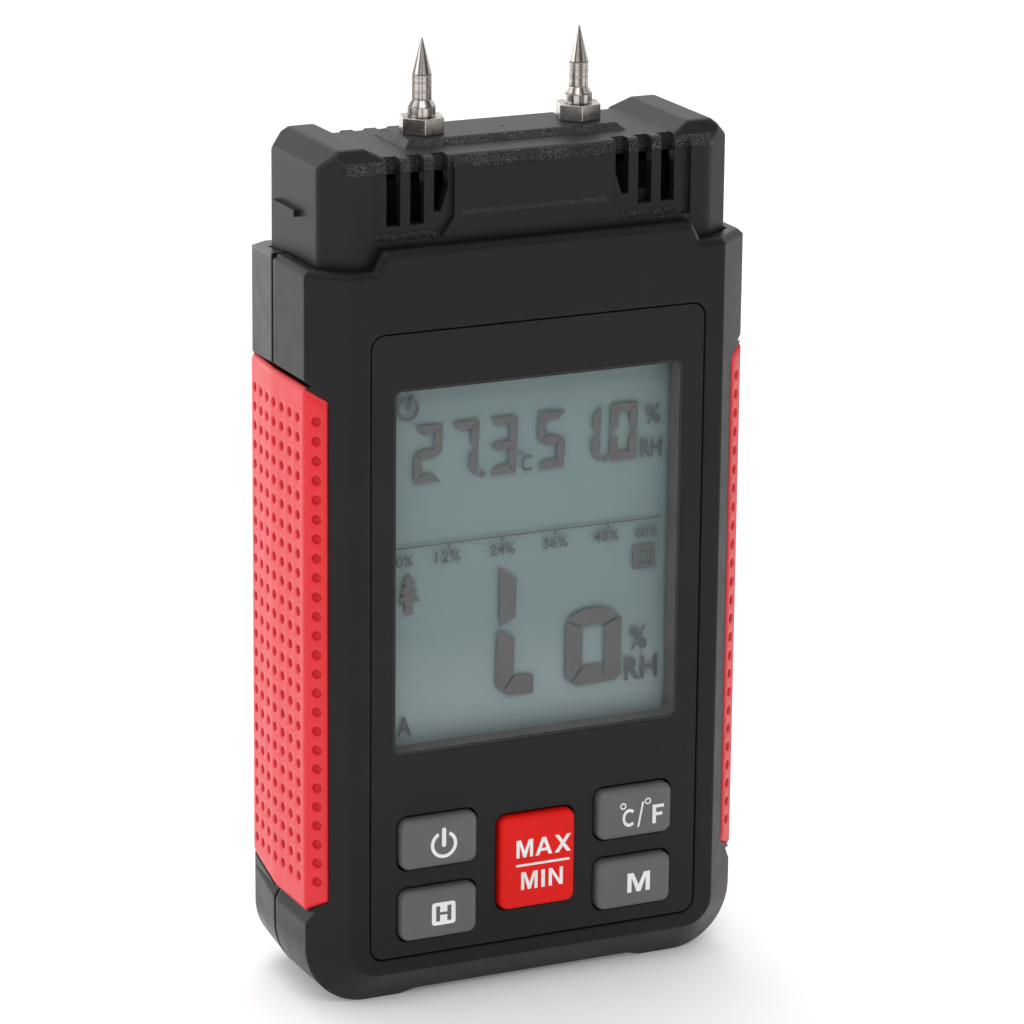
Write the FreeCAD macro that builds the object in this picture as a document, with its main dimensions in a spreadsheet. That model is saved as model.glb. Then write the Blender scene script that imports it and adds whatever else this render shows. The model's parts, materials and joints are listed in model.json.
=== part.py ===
"""Hand-held pin moisture meter: a clamshell housing that stands on two feet, with a sensor head on top.

Units are millimetres. +Z is up, the display faces -Y and +X is the viewer's right. The origin is at the
middle of the footprint, on the plane that the feet stand on.
"""
import FreeCAD, Part
import os
import Sketcher

from FreeCAD import Placement, Rotation, Vector

# Driving dimensions: alias, value, meaning. Angles are in degrees.
DIMENSIONS = [
    ("half_width", 35.0, "housing, centre to side face"),
    ("front_face", -14.5, "plane of the housing's front"),
    ("back_face", 15.0, "plane of the housing's back"),
    ("corner_radius", 9.7, "rounding of the two lower corners"),
    ("bevel_across", 5.4, "front bevel, measured on the front face"),
    ("bevel_deep", 4.7, "front bevel, measured on the side face"),
    ("seam", 1.9, "parting plane of the two shells"),
    ("seam_gap", 0.3, "how far each shell's outer skin stays back from the seam"),
    ("seam_lip", 0.9, "depth of the shadow groove at the seam"),
    ("rim_top", 111.9, "top of the housing at its sides"),
    ("saddle_top", 114.7, "top of the raised middle of the rim"),
    ("saddle_half", 24.4, "half width of the raised middle at its top"),
    ("saddle_foot", 25.8, "half width of the raised middle at the rim"),
    ("rim_bevel", 0.75, "small bevel along the top rim"),
    ("rear_draft", 5.5, "draft of the rear shell's sides"),
    ("rear_bevel", 3.0, "bevel round the back face"),
    ("foot_inner", 20.0, "where a foot ends towards the middle"),
    ("recess_half", 17.5, "half width of the hollow between the feet"),
    ("recess_height", 0.85, "height of the hollow between the feet"),
    ("cavity_half", 33.0, "half width of the space inside the side walls"),
    ("cavity_floor", 2.0, "inner face of the bottom wall"),
    ("cavity_top", 104.0, "top of the main space, where it opens into the head's seat"),
    ("cavity_shoulder", -8.6, "front of the full-width space"),
    ("well_half", 29.0, "half width of the deeper space behind the front wall"),
    ("well_floor", 6.0, "bottom of the deeper space"),
    ("front_inner", -12.3, "inner face of the front wall"),
    ("back_inner", 13.0, "inner face of the back wall"),
    ("rear_cavity_half", 32.0, "half width of the rear shell's space"),
    ("rear_shoulder", 10.7, "back of the rear shell's full-width space"),
    ("head_half", 32.5, "sensor head, centre to side face"),
    ("head_deep", 11.9, "sensor head, centre to front or back face"),
    ("head_corner_x", 28.0, "where the head's front face ends"),
    ("head_corner_y", 8.6, "where the head's side face ends"),
    ("head_round", 3.0, "rounding of the head's upright front and back edges"),
    ("head_foot", 103.6, "lower end of the head inside the housing"),
    ("neck_low", 107.0, "lower end of the retaining groove round the head"),
    ("neck_high", 108.6, "upper end of the retaining groove"),
    ("neck_inset", 1.5, "depth of the retaining groove"),
    ("head_gap", 0.3, "gap between the head and the shells"),
    ("horn_top", 128.8, "top of the raised ends of the head"),
    ("horn_outer", 29.6, "outer end of a raised end's top"),
    ("horn_inner", 25.6, "inner end of a raised end's top"),
    ("horn_side", 126.2, "where the outer slope meets the side face"),
    ("valley_half", 22.6, "half width of the head's lower top"),
    ("valley_top", 127.2, "height of the head's lower top"),
    ("top_bevel_y", 9.4, "where the top's front and back bevels start"),
    ("top_bevel_z", 125.5, "where those bevels meet the front and back faces"),
    ("platform_half", 17.8, "half width of the probe platform's foot"),
    ("platform_deep", 5.8, "half depth of the probe platform's foot"),
    ("platform_top", 128.3, "height of the probe platform"),
    ("platform_slope", 45.0, "slope of the platform's sides"),
    ("platform_soft", 0.5, "rounding of the platform's top edges"),
    ("pinhole", 0.28, "pinhole in the platform, radius"),
    ("pinhole_y", 0.6, "pinhole, distance in front of the middle plane"),
    ("head_soft", 1.2, "rounding of the head's outer edges"),
    ("head_room_half", 30.3, "half width of the space inside the head"),
    ("head_room_deep", 9.4, "half depth of the space inside the head"),
    ("head_room_top", 124.6, "ceiling of the space inside the head"),
    ("vent_face", 11.0, "half depth of the sunk vent areas"),
    ("vent_outer", 25.1, "outer end of a vent area"),
    ("vent_inner", 12.6, "inner end of a vent area at its top"),
    ("vent_inner_low", 14.5, "inner end of a vent area at its bottom"),
    ("vent_bend", 118.4, "height where a vent area starts to narrow"),
    ("vent_low", 115.5, "bottom of the vent areas"),
    ("slot_width", 2.15, "width of one vent slot"),
    ("slot_pitch", 3.7, "spacing of the vent slots"),
    ("slot_first", 13.28, "inner side of the innermost slot"),
    ("slot_low", 117.5, "bottom of the two full slots"),
    ("slot_short_low", 119.1, "bottom of the innermost slot"),
    ("slot_back", 9.0, "how near to the middle plane the slots cut"),
    ("catch_proud", 0.8, "cap catch rib, height above the side face"),
    ("catch_low", 118.0, "cap catch rib, underside"),
    ("catch_high", 119.0, "cap catch rib, top"),
    ("catch_front", -2.0, "cap catch rib, front end"),
    ("catch_back", 6.0, "cap catch rib, back end"),
    ("panel_half", 26.5, "front panel, half width"),
    ("panel_low", 7.8, "front panel, lower edge"),
    ("panel_high", 102.5, "front panel, upper edge"),
    ("panel_radius", 2.0, "front panel, corner radius"),
    ("panel_back", -13.3, "front panel, rear face"),
    ("panel_front", -14.4, "front panel, front face"),
    ("panel_groove", 0.25, "dark groove round the front panel"),
    ("window_half", 22.7, "display opening, half width"),
    ("window_low", 39.6, "display opening, lower edge"),
    ("window_high", 94.0, "display opening, upper edge"),
    ("window_radius", 1.0, "display opening, corner radius"),
    ("frame_wall", 0.5, "thickness of the frame that lines the display opening"),
    ("frame_gap", 0.05, "gap round that frame"),
    ("frame_back", -11.35, "rear edge of that frame"),
    ("lens_half", 24.2, "clear window, half width"),
    ("lens_margin", 1.2, "clear window, overlap beyond the opening"),
    ("lens_back", -10.7, "clear window, rear face"),
    ("lcd_half", 24.0, "display glass, half width"),
    ("lcd_low", 38.0, "display glass, lower edge"),
    ("lcd_high", 96.0, "display glass, upper edge"),
    ("lcd_front", -10.6, "display glass, front face"),
    ("lcd_back", -8.6, "display glass, rear face"),
    ("light_half", 22.8, "backlight panel, half width"),
    ("light_low", 40.6, "backlight panel, lower edge"),
    ("light_high", 93.4, "backlight panel, upper edge"),
    ("light_front", -8.5, "backlight panel, front face"),
    ("light_back", -6.9, "backlight panel, rear face"),
    ("strip_half", 21.0, "conductive strips, half length"),
    ("strip_width", 1.4, "conductive strips, width"),
    ("board_half", 22.2, "main board, half width"),
    ("board_low", 8.2, "main board, lower edge"),
    ("board_high", 103.0, "main board, upper edge"),
    ("board_front", -6.2, "main board, component side towards the display"),
    ("board_back", -4.6, "main board, rear side"),
    ("board_hole", 1.0, "main board, radius of its fixing holes"),
    ("key_x", 16.0, "key columns, distance from the middle"),
    ("key_half_width", 6.1, "keys, half width"),
    ("key_half_height", 3.9, "small keys, half height"),
    ("red_half_height", 7.25, "middle key, half height"),
    ("key_upper_z", 25.4, "upper row of keys"),
    ("key_lower_z", 14.3, "lower row of keys"),
    ("red_z", 20.15, "middle key"),
    ("key_radius", 1.4, "keys, corner radius"),
    ("key_round", 0.7, "keys, rounding of the front edges"),
    ("key_front", -15.7, "keys, front face"),
    ("key_gap", 0.4, "gap between a key and its opening"),
    ("key_flange", 1.0, "how far a key's flange stands out behind the wall"),
    ("flange_front", -12.0, "key flange, front face"),
    ("flange_back", -11.3, "key flange, rear face"),
    ("mat_half", 22.8, "keypad mat, half width"),
    ("mat_low", 8.6, "keypad mat, lower edge"),
    ("mat_high", 31.0, "keypad mat, upper edge"),
    ("mat_front", -7.2, "keypad mat, front of its sheet"),
    ("mat_back", -6.25, "keypad mat, rear face"),
    ("dome_front", -9.95, "keypad mat, front of its domes"),
    ("dome_radius", 2.6, "keypad mat, radius of a dome"),
    ("boss_x", 25.5, "case screws, distance from the middle"),
    ("boss_low_z", 34.2, "lower case screws"),
    ("boss_high_z", 99.9, "upper case screws"),
    ("boss_radius", 3.0, "front screw bosses"),
    ("rear_boss_radius", 3.6, "rear screw bosses"),
    ("screw_radius", 1.2, "case screws, shank radius"),
    ("screw_hole", 1.25, "hole in the front bosses"),
    ("screw_clear", 1.45, "hole in the rear bosses"),
    ("screw_head", 2.4, "case screws, head radius"),
    ("screw_head_low", 11.4, "case screws, underside of the head"),
    ("screw_head_high", 13.0, "case screws, top of the head"),
    ("screw_tip", -8.0, "case screws, tip"),
    ("counterbore", 2.8, "counterbore radius for the screw heads"),
    ("post_x", 19.5, "board screws, distance from the middle"),
    ("post_low_z", 33.7, "lower board screws"),
    ("post_high_z", 100.4, "upper board screws"),
    ("post_radius", 2.1, "posts under the main board"),
    ("post_hole", 0.85, "holes in those posts"),
    ("post_screw", 0.8, "board screws, shank radius"),
    ("post_screw_head", 1.8, "board screws, head radius"),
    ("bay_half", 16.9, "battery bay, half width"),
    ("bay_low", 5.2, "battery bay, lower end"),
    ("bay_high", 52.8, "battery bay, upper end"),
    ("bay_floor", 1.8, "battery bay, floor behind the cells"),
    ("bay_wall", 1.2, "battery bay, wall thickness"),
    ("ledge_half", 22.3, "thick back wall round the bay, half width"),
    ("ledge_low", 2.0, "thick back wall, lower end"),
    ("ledge_high", 58.6, "thick back wall, upper end"),
    ("ledge_inner", 11.1, "thick back wall, inner face"),
    ("hatch_floor", 13.1, "floor that the battery cover runs on"),
    ("hatch_half", 20.2, "battery cover recess, half width"),
    ("hatch_high", 56.3, "battery cover recess, upper end"),
    ("track_half", 21.3, "tongue grooves, half width across both"),
    ("track_low", 13.3, "tongue grooves, inner face"),
    ("track_high", 14.5, "tongue grooves, outer face"),
    ("cover_half", 19.9, "battery cover, half width"),
    ("cover_low", 5.9, "battery cover, lower end"),
    ("cover_high", 56.0, "battery cover, upper end"),
    ("cover_inner", 13.4, "battery cover, inner face"),
    ("cover_outer", 15.0, "battery cover, outer face"),
    ("tongue_half", 21.0, "battery cover, half width across its tongues"),
    ("tongue_low", 13.55, "tongues, inner face"),
    ("tongue_high", 14.25, "tongues, outer face"),
    ("ridge_half", 8.0, "thumb ridges, half length"),
    ("ridge_proud", 0.7, "thumb ridges, height"),
    ("ridge_width", 0.9, "thumb ridges, width"),
    ("ridge_first", 44.0, "lowest thumb ridge"),
    ("ridge_pitch", 1.9, "spacing of the thumb ridges"),
    ("cell_radius", 5.15, "batteries, radius"),
    ("cell_pitch", 11.0, "batteries, spacing"),
    ("cell_y", 7.4, "batteries, distance behind the middle plane"),
    ("cell_low", 6.9, "batteries, lower end"),
    ("cell_length", 43.5, "batteries, length without the nub"),
    ("nub_radius", 1.9, "batteries, radius of the positive nub"),
    ("nub_height", 0.8, "batteries, height of the nub"),
    ("contact_half", 4.2, "battery contacts, half width"),
    ("contact_thick", 0.3, "battery contacts, sheet thickness"),
    ("grip_thick", 1.2, "side grips, thickness"),
    ("grip_proud", 0.15, "side grips, how far they stand out of the shells"),
    ("grip_fold", 12.0, "side grips, where they bend round to the back bevel"),
    ("grip_rear_draft", 0.94, "side grips, how far the rear of their side face leans in"),
    ("grip_top", 94.9, "side grips, upper end"),
    ("grip_bottom", 15.4, "side grips, lower end"),
    ("grip_front_x", 32.3, "side grips, front edge on the bevel"),
    ("grip_front_y", -12.15, "side grips, front edge on the bevel"),
    ("grip_rear_x", 32.6, "side grips, rear edge on the back bevel"),
    ("grip_rear_y", 13.46, "side grips, rear edge on the back bevel"),
    ("grip_slant", 1.8, "side grips, how far their ends slant at the front edge"),
    ("grip_notch", 1.1, "depth of the notch above and below a grip"),
    ("upper_notch_height", 1.0, "height of the notch above a grip"),
    ("lower_notch_height", 2.0, "height of the notch below a grip"),
    ("probe_x", 12.5, "probes, distance from the middle"),
    ("hex_radius", 3.464, "electrode post, corner radius of the hexagon"),
    ("hex_turn", 15.0, "electrode post, turn of the hexagon about its axis"),
    ("hex_low", 128.35, "electrode post, underside of the hexagon"),
    ("hex_high", 130.7, "electrode post, top of the hexagon"),
    ("stud_radius", 1.5, "electrode post, stud below the hexagon"),
    ("stud_low", 120.4, "electrode post, lower end of the stud"),
    ("stud_hole", 1.55, "hole in the head for the stud"),
    ("socket_radius", 1.05, "electrode post, socket for the probe"),
    ("socket_low", 122.0, "electrode post, bottom of the socket"),
    ("pin_stem", 1.0, "probe, radius of its stem"),
    ("pin_stem_low", 122.5, "probe, lower end of its stem"),
    ("collar_low", 130.75, "probe, underside of the collar"),
    ("collar_radius", 2.05, "probe, radius of the collar"),
    ("collar_high", 132.1, "probe, top of the collar"),
    ("shank_radius", 1.45, "probe, radius of the shank"),
    ("shank_low", 133.1, "probe, lower end of the shank"),
    ("shank_high", 136.8, "probe, upper end of the shank"),
    ("tip_radius", 0.12, "probe, radius of the blunted tip"),
    ("tip_top", 142.1, "probe, tip"),
    ("nut_low", 121.7, "electrode nut, underside"),
    ("nut_high", 124.1, "electrode nut, top"),
    ("strap_half", 1.6, "contact strap, half width of its leg"),
    ("strap_low", 97.0, "contact strap, lower end"),
    ("strap_ring", 2.9, "contact strap, radius of its ring"),
    ("screw_slot_length", 1.5, "case screws, half length of a slot in the cross"),
    ("screw_slot_width", 0.3, "case screws, half width of a slot in the cross"),
    ("screw_slot_depth", 0.9, "case screws, depth of the cross"),
    ("chip_x", 7.5, "processor chip, distance right of the middle"),
    ("chip_z", 65.5, "processor chip, height of its centre"),
    ("chip_half", 3.5, "processor chip, half width"),
    ("chip_thick", 1.4, "processor chip, thickness"),
    ("buzzer_x", -12.0, "buzzer, distance from the middle"),
    ("buzzer_z", 84.0, "buzzer, height of its centre"),
    ("buzzer_radius", 4.5, "buzzer, radius"),
    ("buzzer_thick", 4.2, "buzzer, thickness"),
    ("sound_hole", 0.8, "buzzer, radius of its sound hole"),
    ("air_sensor_x", 18.5, "air sensor, distance right of the middle"),
    ("air_sensor_z", 117.5, "air sensor, height of its centre"),
    ("air_sensor_half", 1.5, "air sensor, half width"),
    ("air_sensor_thick", 1.0, "air sensor, thickness"),
    ("air_board_half", 26.0, "air sensor board, half width"),
    ("air_board_low", 110.0, "air sensor board, lower edge"),
    ("air_board_high", 123.0, "air sensor board, upper edge"),
    ("air_board_front", -7.6, "air sensor board, front face"),
    ("air_board_back", -6.6, "air sensor board, rear face"),
]

SHEET = "Dims"
VALUES = {alias: value for alias, value, meaning in DIMENSIONS}
# For each sketch plane: its name in a body's origin, and which way its normal points along the third axis.
PLANES = {"XY": ("XY_Plane", 1), "XZ": ("XZ_Plane", -1), "YZ": ("YZ_Plane", 1)}
BOTH_SIDES = (-1, 1)
NEAR = 0.01
SMOOTH = 0.15

doc = FreeCAD.newDocument("MoistureMeter")
sheet = doc.addObject("Spreadsheet::Sheet", SHEET)
for row, (alias, value, meaning) in enumerate(DIMENSIONS, start=1):
    sheet.set(f"A{row}", meaning)
    sheet.set(f"B{row}", str(value))
    sheet.setAlias(f"B{row}", alias)
doc.recompute()
nodes = []

# Keys: column, row and half height.
KEYS = {
    "power_key": ("0 - key_x", "key_upper_z", "key_half_height"),
    "hold_key": ("0 - key_x", "key_lower_z", "key_half_height"),
    "max_min_key": ("0", "red_z", "red_half_height"),
    "unit_key": ("key_x", "key_upper_z", "key_half_height"),
    "mode_key": ("key_x", "key_lower_z", "key_half_height"),
}


# Sums of cells. A size or a place is written as a text such as "half_width - seam_lip".

def terms(text):
    """Split a sum into pairs of sign and word."""
    signed = []
    sign = 1
    for word in str(text).replace("-", " - ").replace("+", " + ").split():
        if word in ("+", "-"):
            sign = -sign if word == "-" else sign
        else:
            signed.append((sign, word))
            sign = 1
    return signed


def amount(text):
    """Value of a sum."""
    return sum(sign * (VALUES[word] if word in VALUES else float(word)) for sign, word in terms(text))


def formula(text):
    """The sum as an expression on the spreadsheet's cells."""
    steps = []
    for sign, word in terms(text):
        cell = f"{SHEET}.{word}" if word in VALUES else word
        steps.append(f"{'-' if sign < 0 else '+'} {cell}")
    return "0 " + " ".join(steps)


def sided(side, text):
    """The sum itself for side +1, or its opposite for side -1."""
    return " ".join(f"{'-' if sign * side < 0 else '+'} {word}" for sign, word in terms(text))


def mirrored(side, corners):
    """An outline with the first coordinate of every corner turned to one side."""
    return [(sided(side, corner[0]),) + tuple(corner[1:]) for corner in corners]


def box(low_x, high_x, low_y, high_y, radius=None):
    """Outline of a rectangle, with rounded corners where a radius is given."""
    extra = (radius,) if radius else ()
    corners = [(low_x, low_y), (high_x, low_y), (high_x, high_y), (low_x, high_y)]
    return [corner + extra for corner in corners]


def centred(half_x, low_y, high_y, radius=None):
    """Outline of a rectangle that is centred on the first axis."""
    return box(sided(-1, half_x), half_x, low_y, high_y, radius)


def around(x, y, half_x, half_y, radius=None):
    """Outline of a rectangle round a place."""
    return box(f"{x} - {half_x}", f"{x} + {half_x}", f"{y} - {half_y}", f"{y} + {half_y}", radius)


# Sketches and features.

def new_body(label, several=False):
    """An empty body. A body that holds several separate solids says so."""
    body = doc.addObject("PartDesign::Body", label)
    body.Label = label
    body.AllowCompound = several
    return body


def bind(item, name, text):
    """Tie a property to the spreadsheet."""
    item.setExpression(name, formula(text))


def pin_point(sketch, geometry, end, place):
    """Fix one end of a line, or a circle's centre (end 3), at a place from the origin."""
    for kind, text in zip(("DistanceX", "DistanceY"), place):
        index = sketch.addConstraint(Sketcher.Constraint(kind, -1, 1, geometry, end, amount(text)))
        bind(sketch, f"Constraints[{index}]", text)


def add_outline(sketch, corners):
    """Draw a closed outline. A corner with a third entry is rounded, and its sides lie along the axes."""
    count = len(corners)
    points = [Vector(amount(corner[0]), amount(corner[1]), 0) for corner in corners]
    radii = [amount(corner[2]) if len(corner) > 2 else 0.0 for corner in corners]
    lines = []
    for i in range(count):
        j = (i + 1) % count
        along = (points[j] - points[i]).normalize()
        ends = (points[i] + along * radii[i], points[j] - along * radii[j])
        lines.append(sketch.addGeometry(Part.LineSegment(*ends), False))
    for i in range(count):
        if radii[i]:
            round_corner(sketch, lines[i - 1], lines[i], points[i], corners[i][2])
        else:
            sketch.addConstraint(Sketcher.Constraint("Coincident", lines[i - 1], 2, lines[i], 1))
            pin_point(sketch, lines[i], 1, corners[i])
    for i in range(count):
        j = (i + 1) % count
        if radii[i] or radii[j]:
            level = abs(points[j].y - points[i].y) < NEAR
            sketch.addConstraint(Sketcher.Constraint("Horizontal" if level else "Vertical", lines[i]))
            if radii[i] and radii[j]:
                axis = 1 if level else 0
                kind = ("DistanceX", "DistanceY")[axis]
                text = corners[i][axis]
                index = sketch.addConstraint(Sketcher.Constraint(kind, -1, 1, lines[i], 1, amount(text)))
                bind(sketch, f"Constraints[{index}]", text)


def round_corner(sketch, before, after, corner, radius):
    """Join two lines with a tangent arc of a bound radius."""
    start = sketch.Geometry[before].EndPoint
    end = sketch.Geometry[after].StartPoint
    centre = start + end - corner
    towards = (corner - centre).normalize()
    arc_shape = Part.Arc(start, centre + towards * amount(radius), end)
    arc = sketch.addGeometry(arc_shape, False)
    turned_back = (sketch.Geometry[arc].StartPoint - start).Length > NEAR
    first, last = (2, 1) if turned_back else (1, 2)
    sketch.addConstraint(Sketcher.Constraint("Tangent", before, 2, arc, first))
    sketch.addConstraint(Sketcher.Constraint("Tangent", arc, last, after, 1))
    index = sketch.addConstraint(Sketcher.Constraint("Radius", arc, amount(radius)))
    bind(sketch, f"Constraints[{index}]", radius)


def draw(body, name, plane, level, outlines, circles=(), radius=None):
    """Sketch on one of the body's origin planes, moved along that plane's axis to a level."""
    role, normal = PLANES[plane]
    sketch = body.newObject("Sketcher::SketchObject", name)
    support = next(item for item in body.Origin.OriginFeatures if item.Role == role)
    sketch.AttachmentSupport = (support, [""])
    sketch.MapMode = "FlatFace"
    bind(sketch, "AttachmentOffset.Base.z", sided(normal, level))
    for corners in outlines:
        add_outline(sketch, corners)
    for centre in circles:
        ring = Part.Circle(Vector(amount(centre[0]), amount(centre[1]), 0), Vector(0, 0, 1), amount(radius))
        index = sketch.addGeometry(ring, False)
        pin_point(sketch, index, 3, centre)
        constraint = sketch.addConstraint(Sketcher.Constraint("Radius", index, amount(radius)))
        bind(sketch, f"Constraints[{constraint}]", radius)
    return sketch


def extrude(body, kind, name, plane, start, end, outlines, circles=(), radius=None, taper=0):
    """Pad or pocket between two levels along the plane's axis, with a check that the volume changed."""
    before = body.Shape.Volume if body.Tip else 0.0
    sketch = draw(body, name + "Sketch", plane, start, outlines, circles, radius)
    feature = body.newObject(f"PartDesign::{kind}", name)
    feature.Profile = sketch
    bind(feature, "Length", f"{end} {sided(-1, start)}")
    normal = PLANES[plane][1]
    feature.Reversed = (normal < 0) if kind == "Pad" else (normal > 0)
    if taper:
        feature.setExpression("TaperAngle", taper)
    sketch.Visibility = False
    doc.recompute()
    change = body.Shape.Volume - before
    if (change <= 0) if kind == "Pad" else (change >= 0):
        raise RuntimeError(f"{body.Label}: {name} changed the volume by {change:.3f}")
    return feature


def add(body, name, plane, start, end, *outlines, taper=0):
    """Material between two levels."""
    return extrude(body, "Pad", name, plane, start, end, outlines, taper=taper)


def cut(body, name, plane, start, end, *outlines):
    """Space between two levels."""
    return extrude(body, "Pocket", name, plane, start, end, outlines)


def rods(body, name, plane, start, end, centres, radius):
    """Round bars between two levels."""
    return extrude(body, "Pad", name, plane, start, end, (), centres, radius)


def holes(body, name, plane, start, end, centres, radius):
    """Round holes between two levels."""
    return extrude(body, "Pocket", name, plane, start, end, (), centres, radius)


def is_sharp(shape, edge):
    """True where the two faces that meet at an edge do not run smoothly into each other."""
    middle = edge.valueAt((edge.FirstParameter + edge.LastParameter) / 2)
    faces = shape.ancestorsOfType(edge, Part.Face)
    normals = [face.normalAt(*face.Surface.parameter(middle)) for face in faces]
    return normals[0].getAngle(normals[-1]) > SMOOTH


def dress(body, kind, name, size, wanted):
    """Fillet or chamfer the sharp edges of the body's last feature whose two end points pass a test."""
    base = body.Tip
    names = []
    for number, edge in enumerate(base.Shape.Edges, start=1):
        ends = [vertex.Point for vertex in edge.Vertexes]
        if len(ends) == 2 and wanted(*ends) and is_sharp(base.Shape, edge):
            names.append(f"Edge{number}")
    feature = body.newObject(f"PartDesign::{kind}", name)
    feature.Base = (base, names)
    bind(feature, "Radius" if kind == "Fillet" else "Size", size)
    return feature


def at_level(axis, text):
    """Test for edges whose two ends lie in one plane across an axis."""
    level = amount(text)
    return lambda a, b: abs(getattr(a, axis) - level) < NEAR and abs(getattr(b, axis) - level) < NEAR


def primitive(kind, label, level, **sizes):
    """A Part primitive that stands on a level, with its sizes bound."""
    item = doc.addObject(f"Part::{kind}", label)
    for name, text in sizes.items():
        bind(item, name, text)
    bind(item, "Placement.Base.z", level)
    return item


def join(kind, label, base, tool):
    """Fuse or cut two Part objects."""
    item = doc.addObject(f"Part::{kind}", label)
    item.Base = base
    item.Tool = tool
    return item


def keep(item, label=None):
    """List a finished sub-part for export."""
    if label:
        item.Label = label
    nodes.append(item)
    return item


# Housing shells.

def housing_outline(inset="0"):
    """Front view of the housing: two rounded lower corners and a raised middle in the top rim."""
    half = f"half_width - {inset}"
    low = inset
    radius = f"corner_radius - {inset}"
    right = [(half, low, radius), (half, f"rim_top - {inset}"), ("saddle_foot", f"rim_top - {inset}"),
             ("saddle_half", f"saddle_top - {inset}")]
    left = [(sided(-1, corner[0]),) + corner[1:] for corner in reversed(right)]
    return right + left


def head_outline(grow="0", inset="0"):
    """Plan of the sensor head: a rectangle with slanted corners."""
    side = f"head_half + {grow} - {inset}"
    front = f"head_deep + {grow} - {inset}"
    corner_x = f"head_corner_x + {grow} - {inset}"
    corner_y = f"head_corner_y + {grow} - {inset}"
    quarter = [(side, sided(-1, corner_y)), (side, corner_y), (corner_x, front)]
    back = quarter[1:] + [(sided(-1, x), y) for x, y in reversed(quarter[1:])]
    ahead = [(sided(-1, x), sided(-1, y)) for x, y in back]
    return back + ahead


def seat_head(body, start, end):
    """Cut the mouth that holds the head, with a rib that enters the head's groove."""
    for name, low, high, inset in (
        ("MouthFoot", "head_foot - head_gap", "neck_low + head_gap", "0"),
        ("MouthNeck", "neck_low + head_gap", "neck_high - head_gap", "neck_inset"),
        ("MouthTop", "neck_high - head_gap", "saddle_top + 1", "0"),
    ):
        cut(body, name, "XY", low, high, head_outline("head_gap", inset))


def bevel_rim(body, skin_level):
    """Small bevel along the outer edges of the top rim, but not along the seam."""
    low = amount("rim_top") - NEAR
    beyond = amount("half_width - bevel_across") - 1
    seam = amount(skin_level)
    face = amount("back_face") if seam > amount("seam") else amount("front_face")

    def outer(a, b):
        high = a.z > low and b.z > low
        ahead = abs(a.y - face) < NEAR and abs(b.y - face) < NEAR
        aside = abs(a.x) > beyond and abs(b.x) > beyond
        on_seam = abs(a.y - seam) < 0.5 and abs(b.y - seam) < 0.5
        return high and (ahead or aside) and not on_seam

    dress(body, "Chamfer", "RimBevel", "rim_bevel", outer)


def side_notches():
    """Notches above and below a grip, in front view, for both sides."""
    outlines = []
    for side in BOTH_SIDES:
        for end, away in (("grip_top", "+ upper_notch_height"), ("grip_bottom", "- lower_notch_height")):
            outlines.append(mirrored(side, [
                ("half_width - grip_notch", end),
                ("half_width", f"{end} {away}"),
                ("half_width + 1", f"{end} {away}"),
                ("half_width + 1", end),
            ]))
    return outlines


def foot_recess():
    """Hollow between the two feet, in front view."""
    return [("0 - foot_inner", "0"), ("0 - foot_inner - 0.1", "0 - 1"), ("foot_inner + 0.1", "0 - 1"),
            ("foot_inner", "0"), ("recess_half", "recess_height"), ("0 - recess_half", "recess_height")]


def key_outline(key, grow, radius):
    """Outline of one key, made larger on every side by a margin."""
    column, row, half_height = KEYS[key]
    return box(f"{column} - key_half_width - {grow}", f"{column} + key_half_width + {grow}",
               f"{row} - {half_height} - {grow}", f"{row} + {half_height} + {grow}", radius)


def key_openings():
    """Outlines of the five openings that the keys move in."""
    return [key_outline(key, "key_gap", "key_radius + key_gap") for key in KEYS]


def window_outline(*margins):
    """Display opening, made larger on every side by the sum of the margins."""
    more = "".join(f" + {margin}" for margin in margins)
    less = more.replace("+", "-")
    return centred(f"window_half{more}", f"window_low{less}", f"window_high{more}", f"window_radius{more}")


def corners_of(half_x, low_z, high_z):
    """Four places, two on each side."""
    return [(sided(side, half_x), level) for side in BOTH_SIDES for level in (low_z, high_z)]


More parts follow.
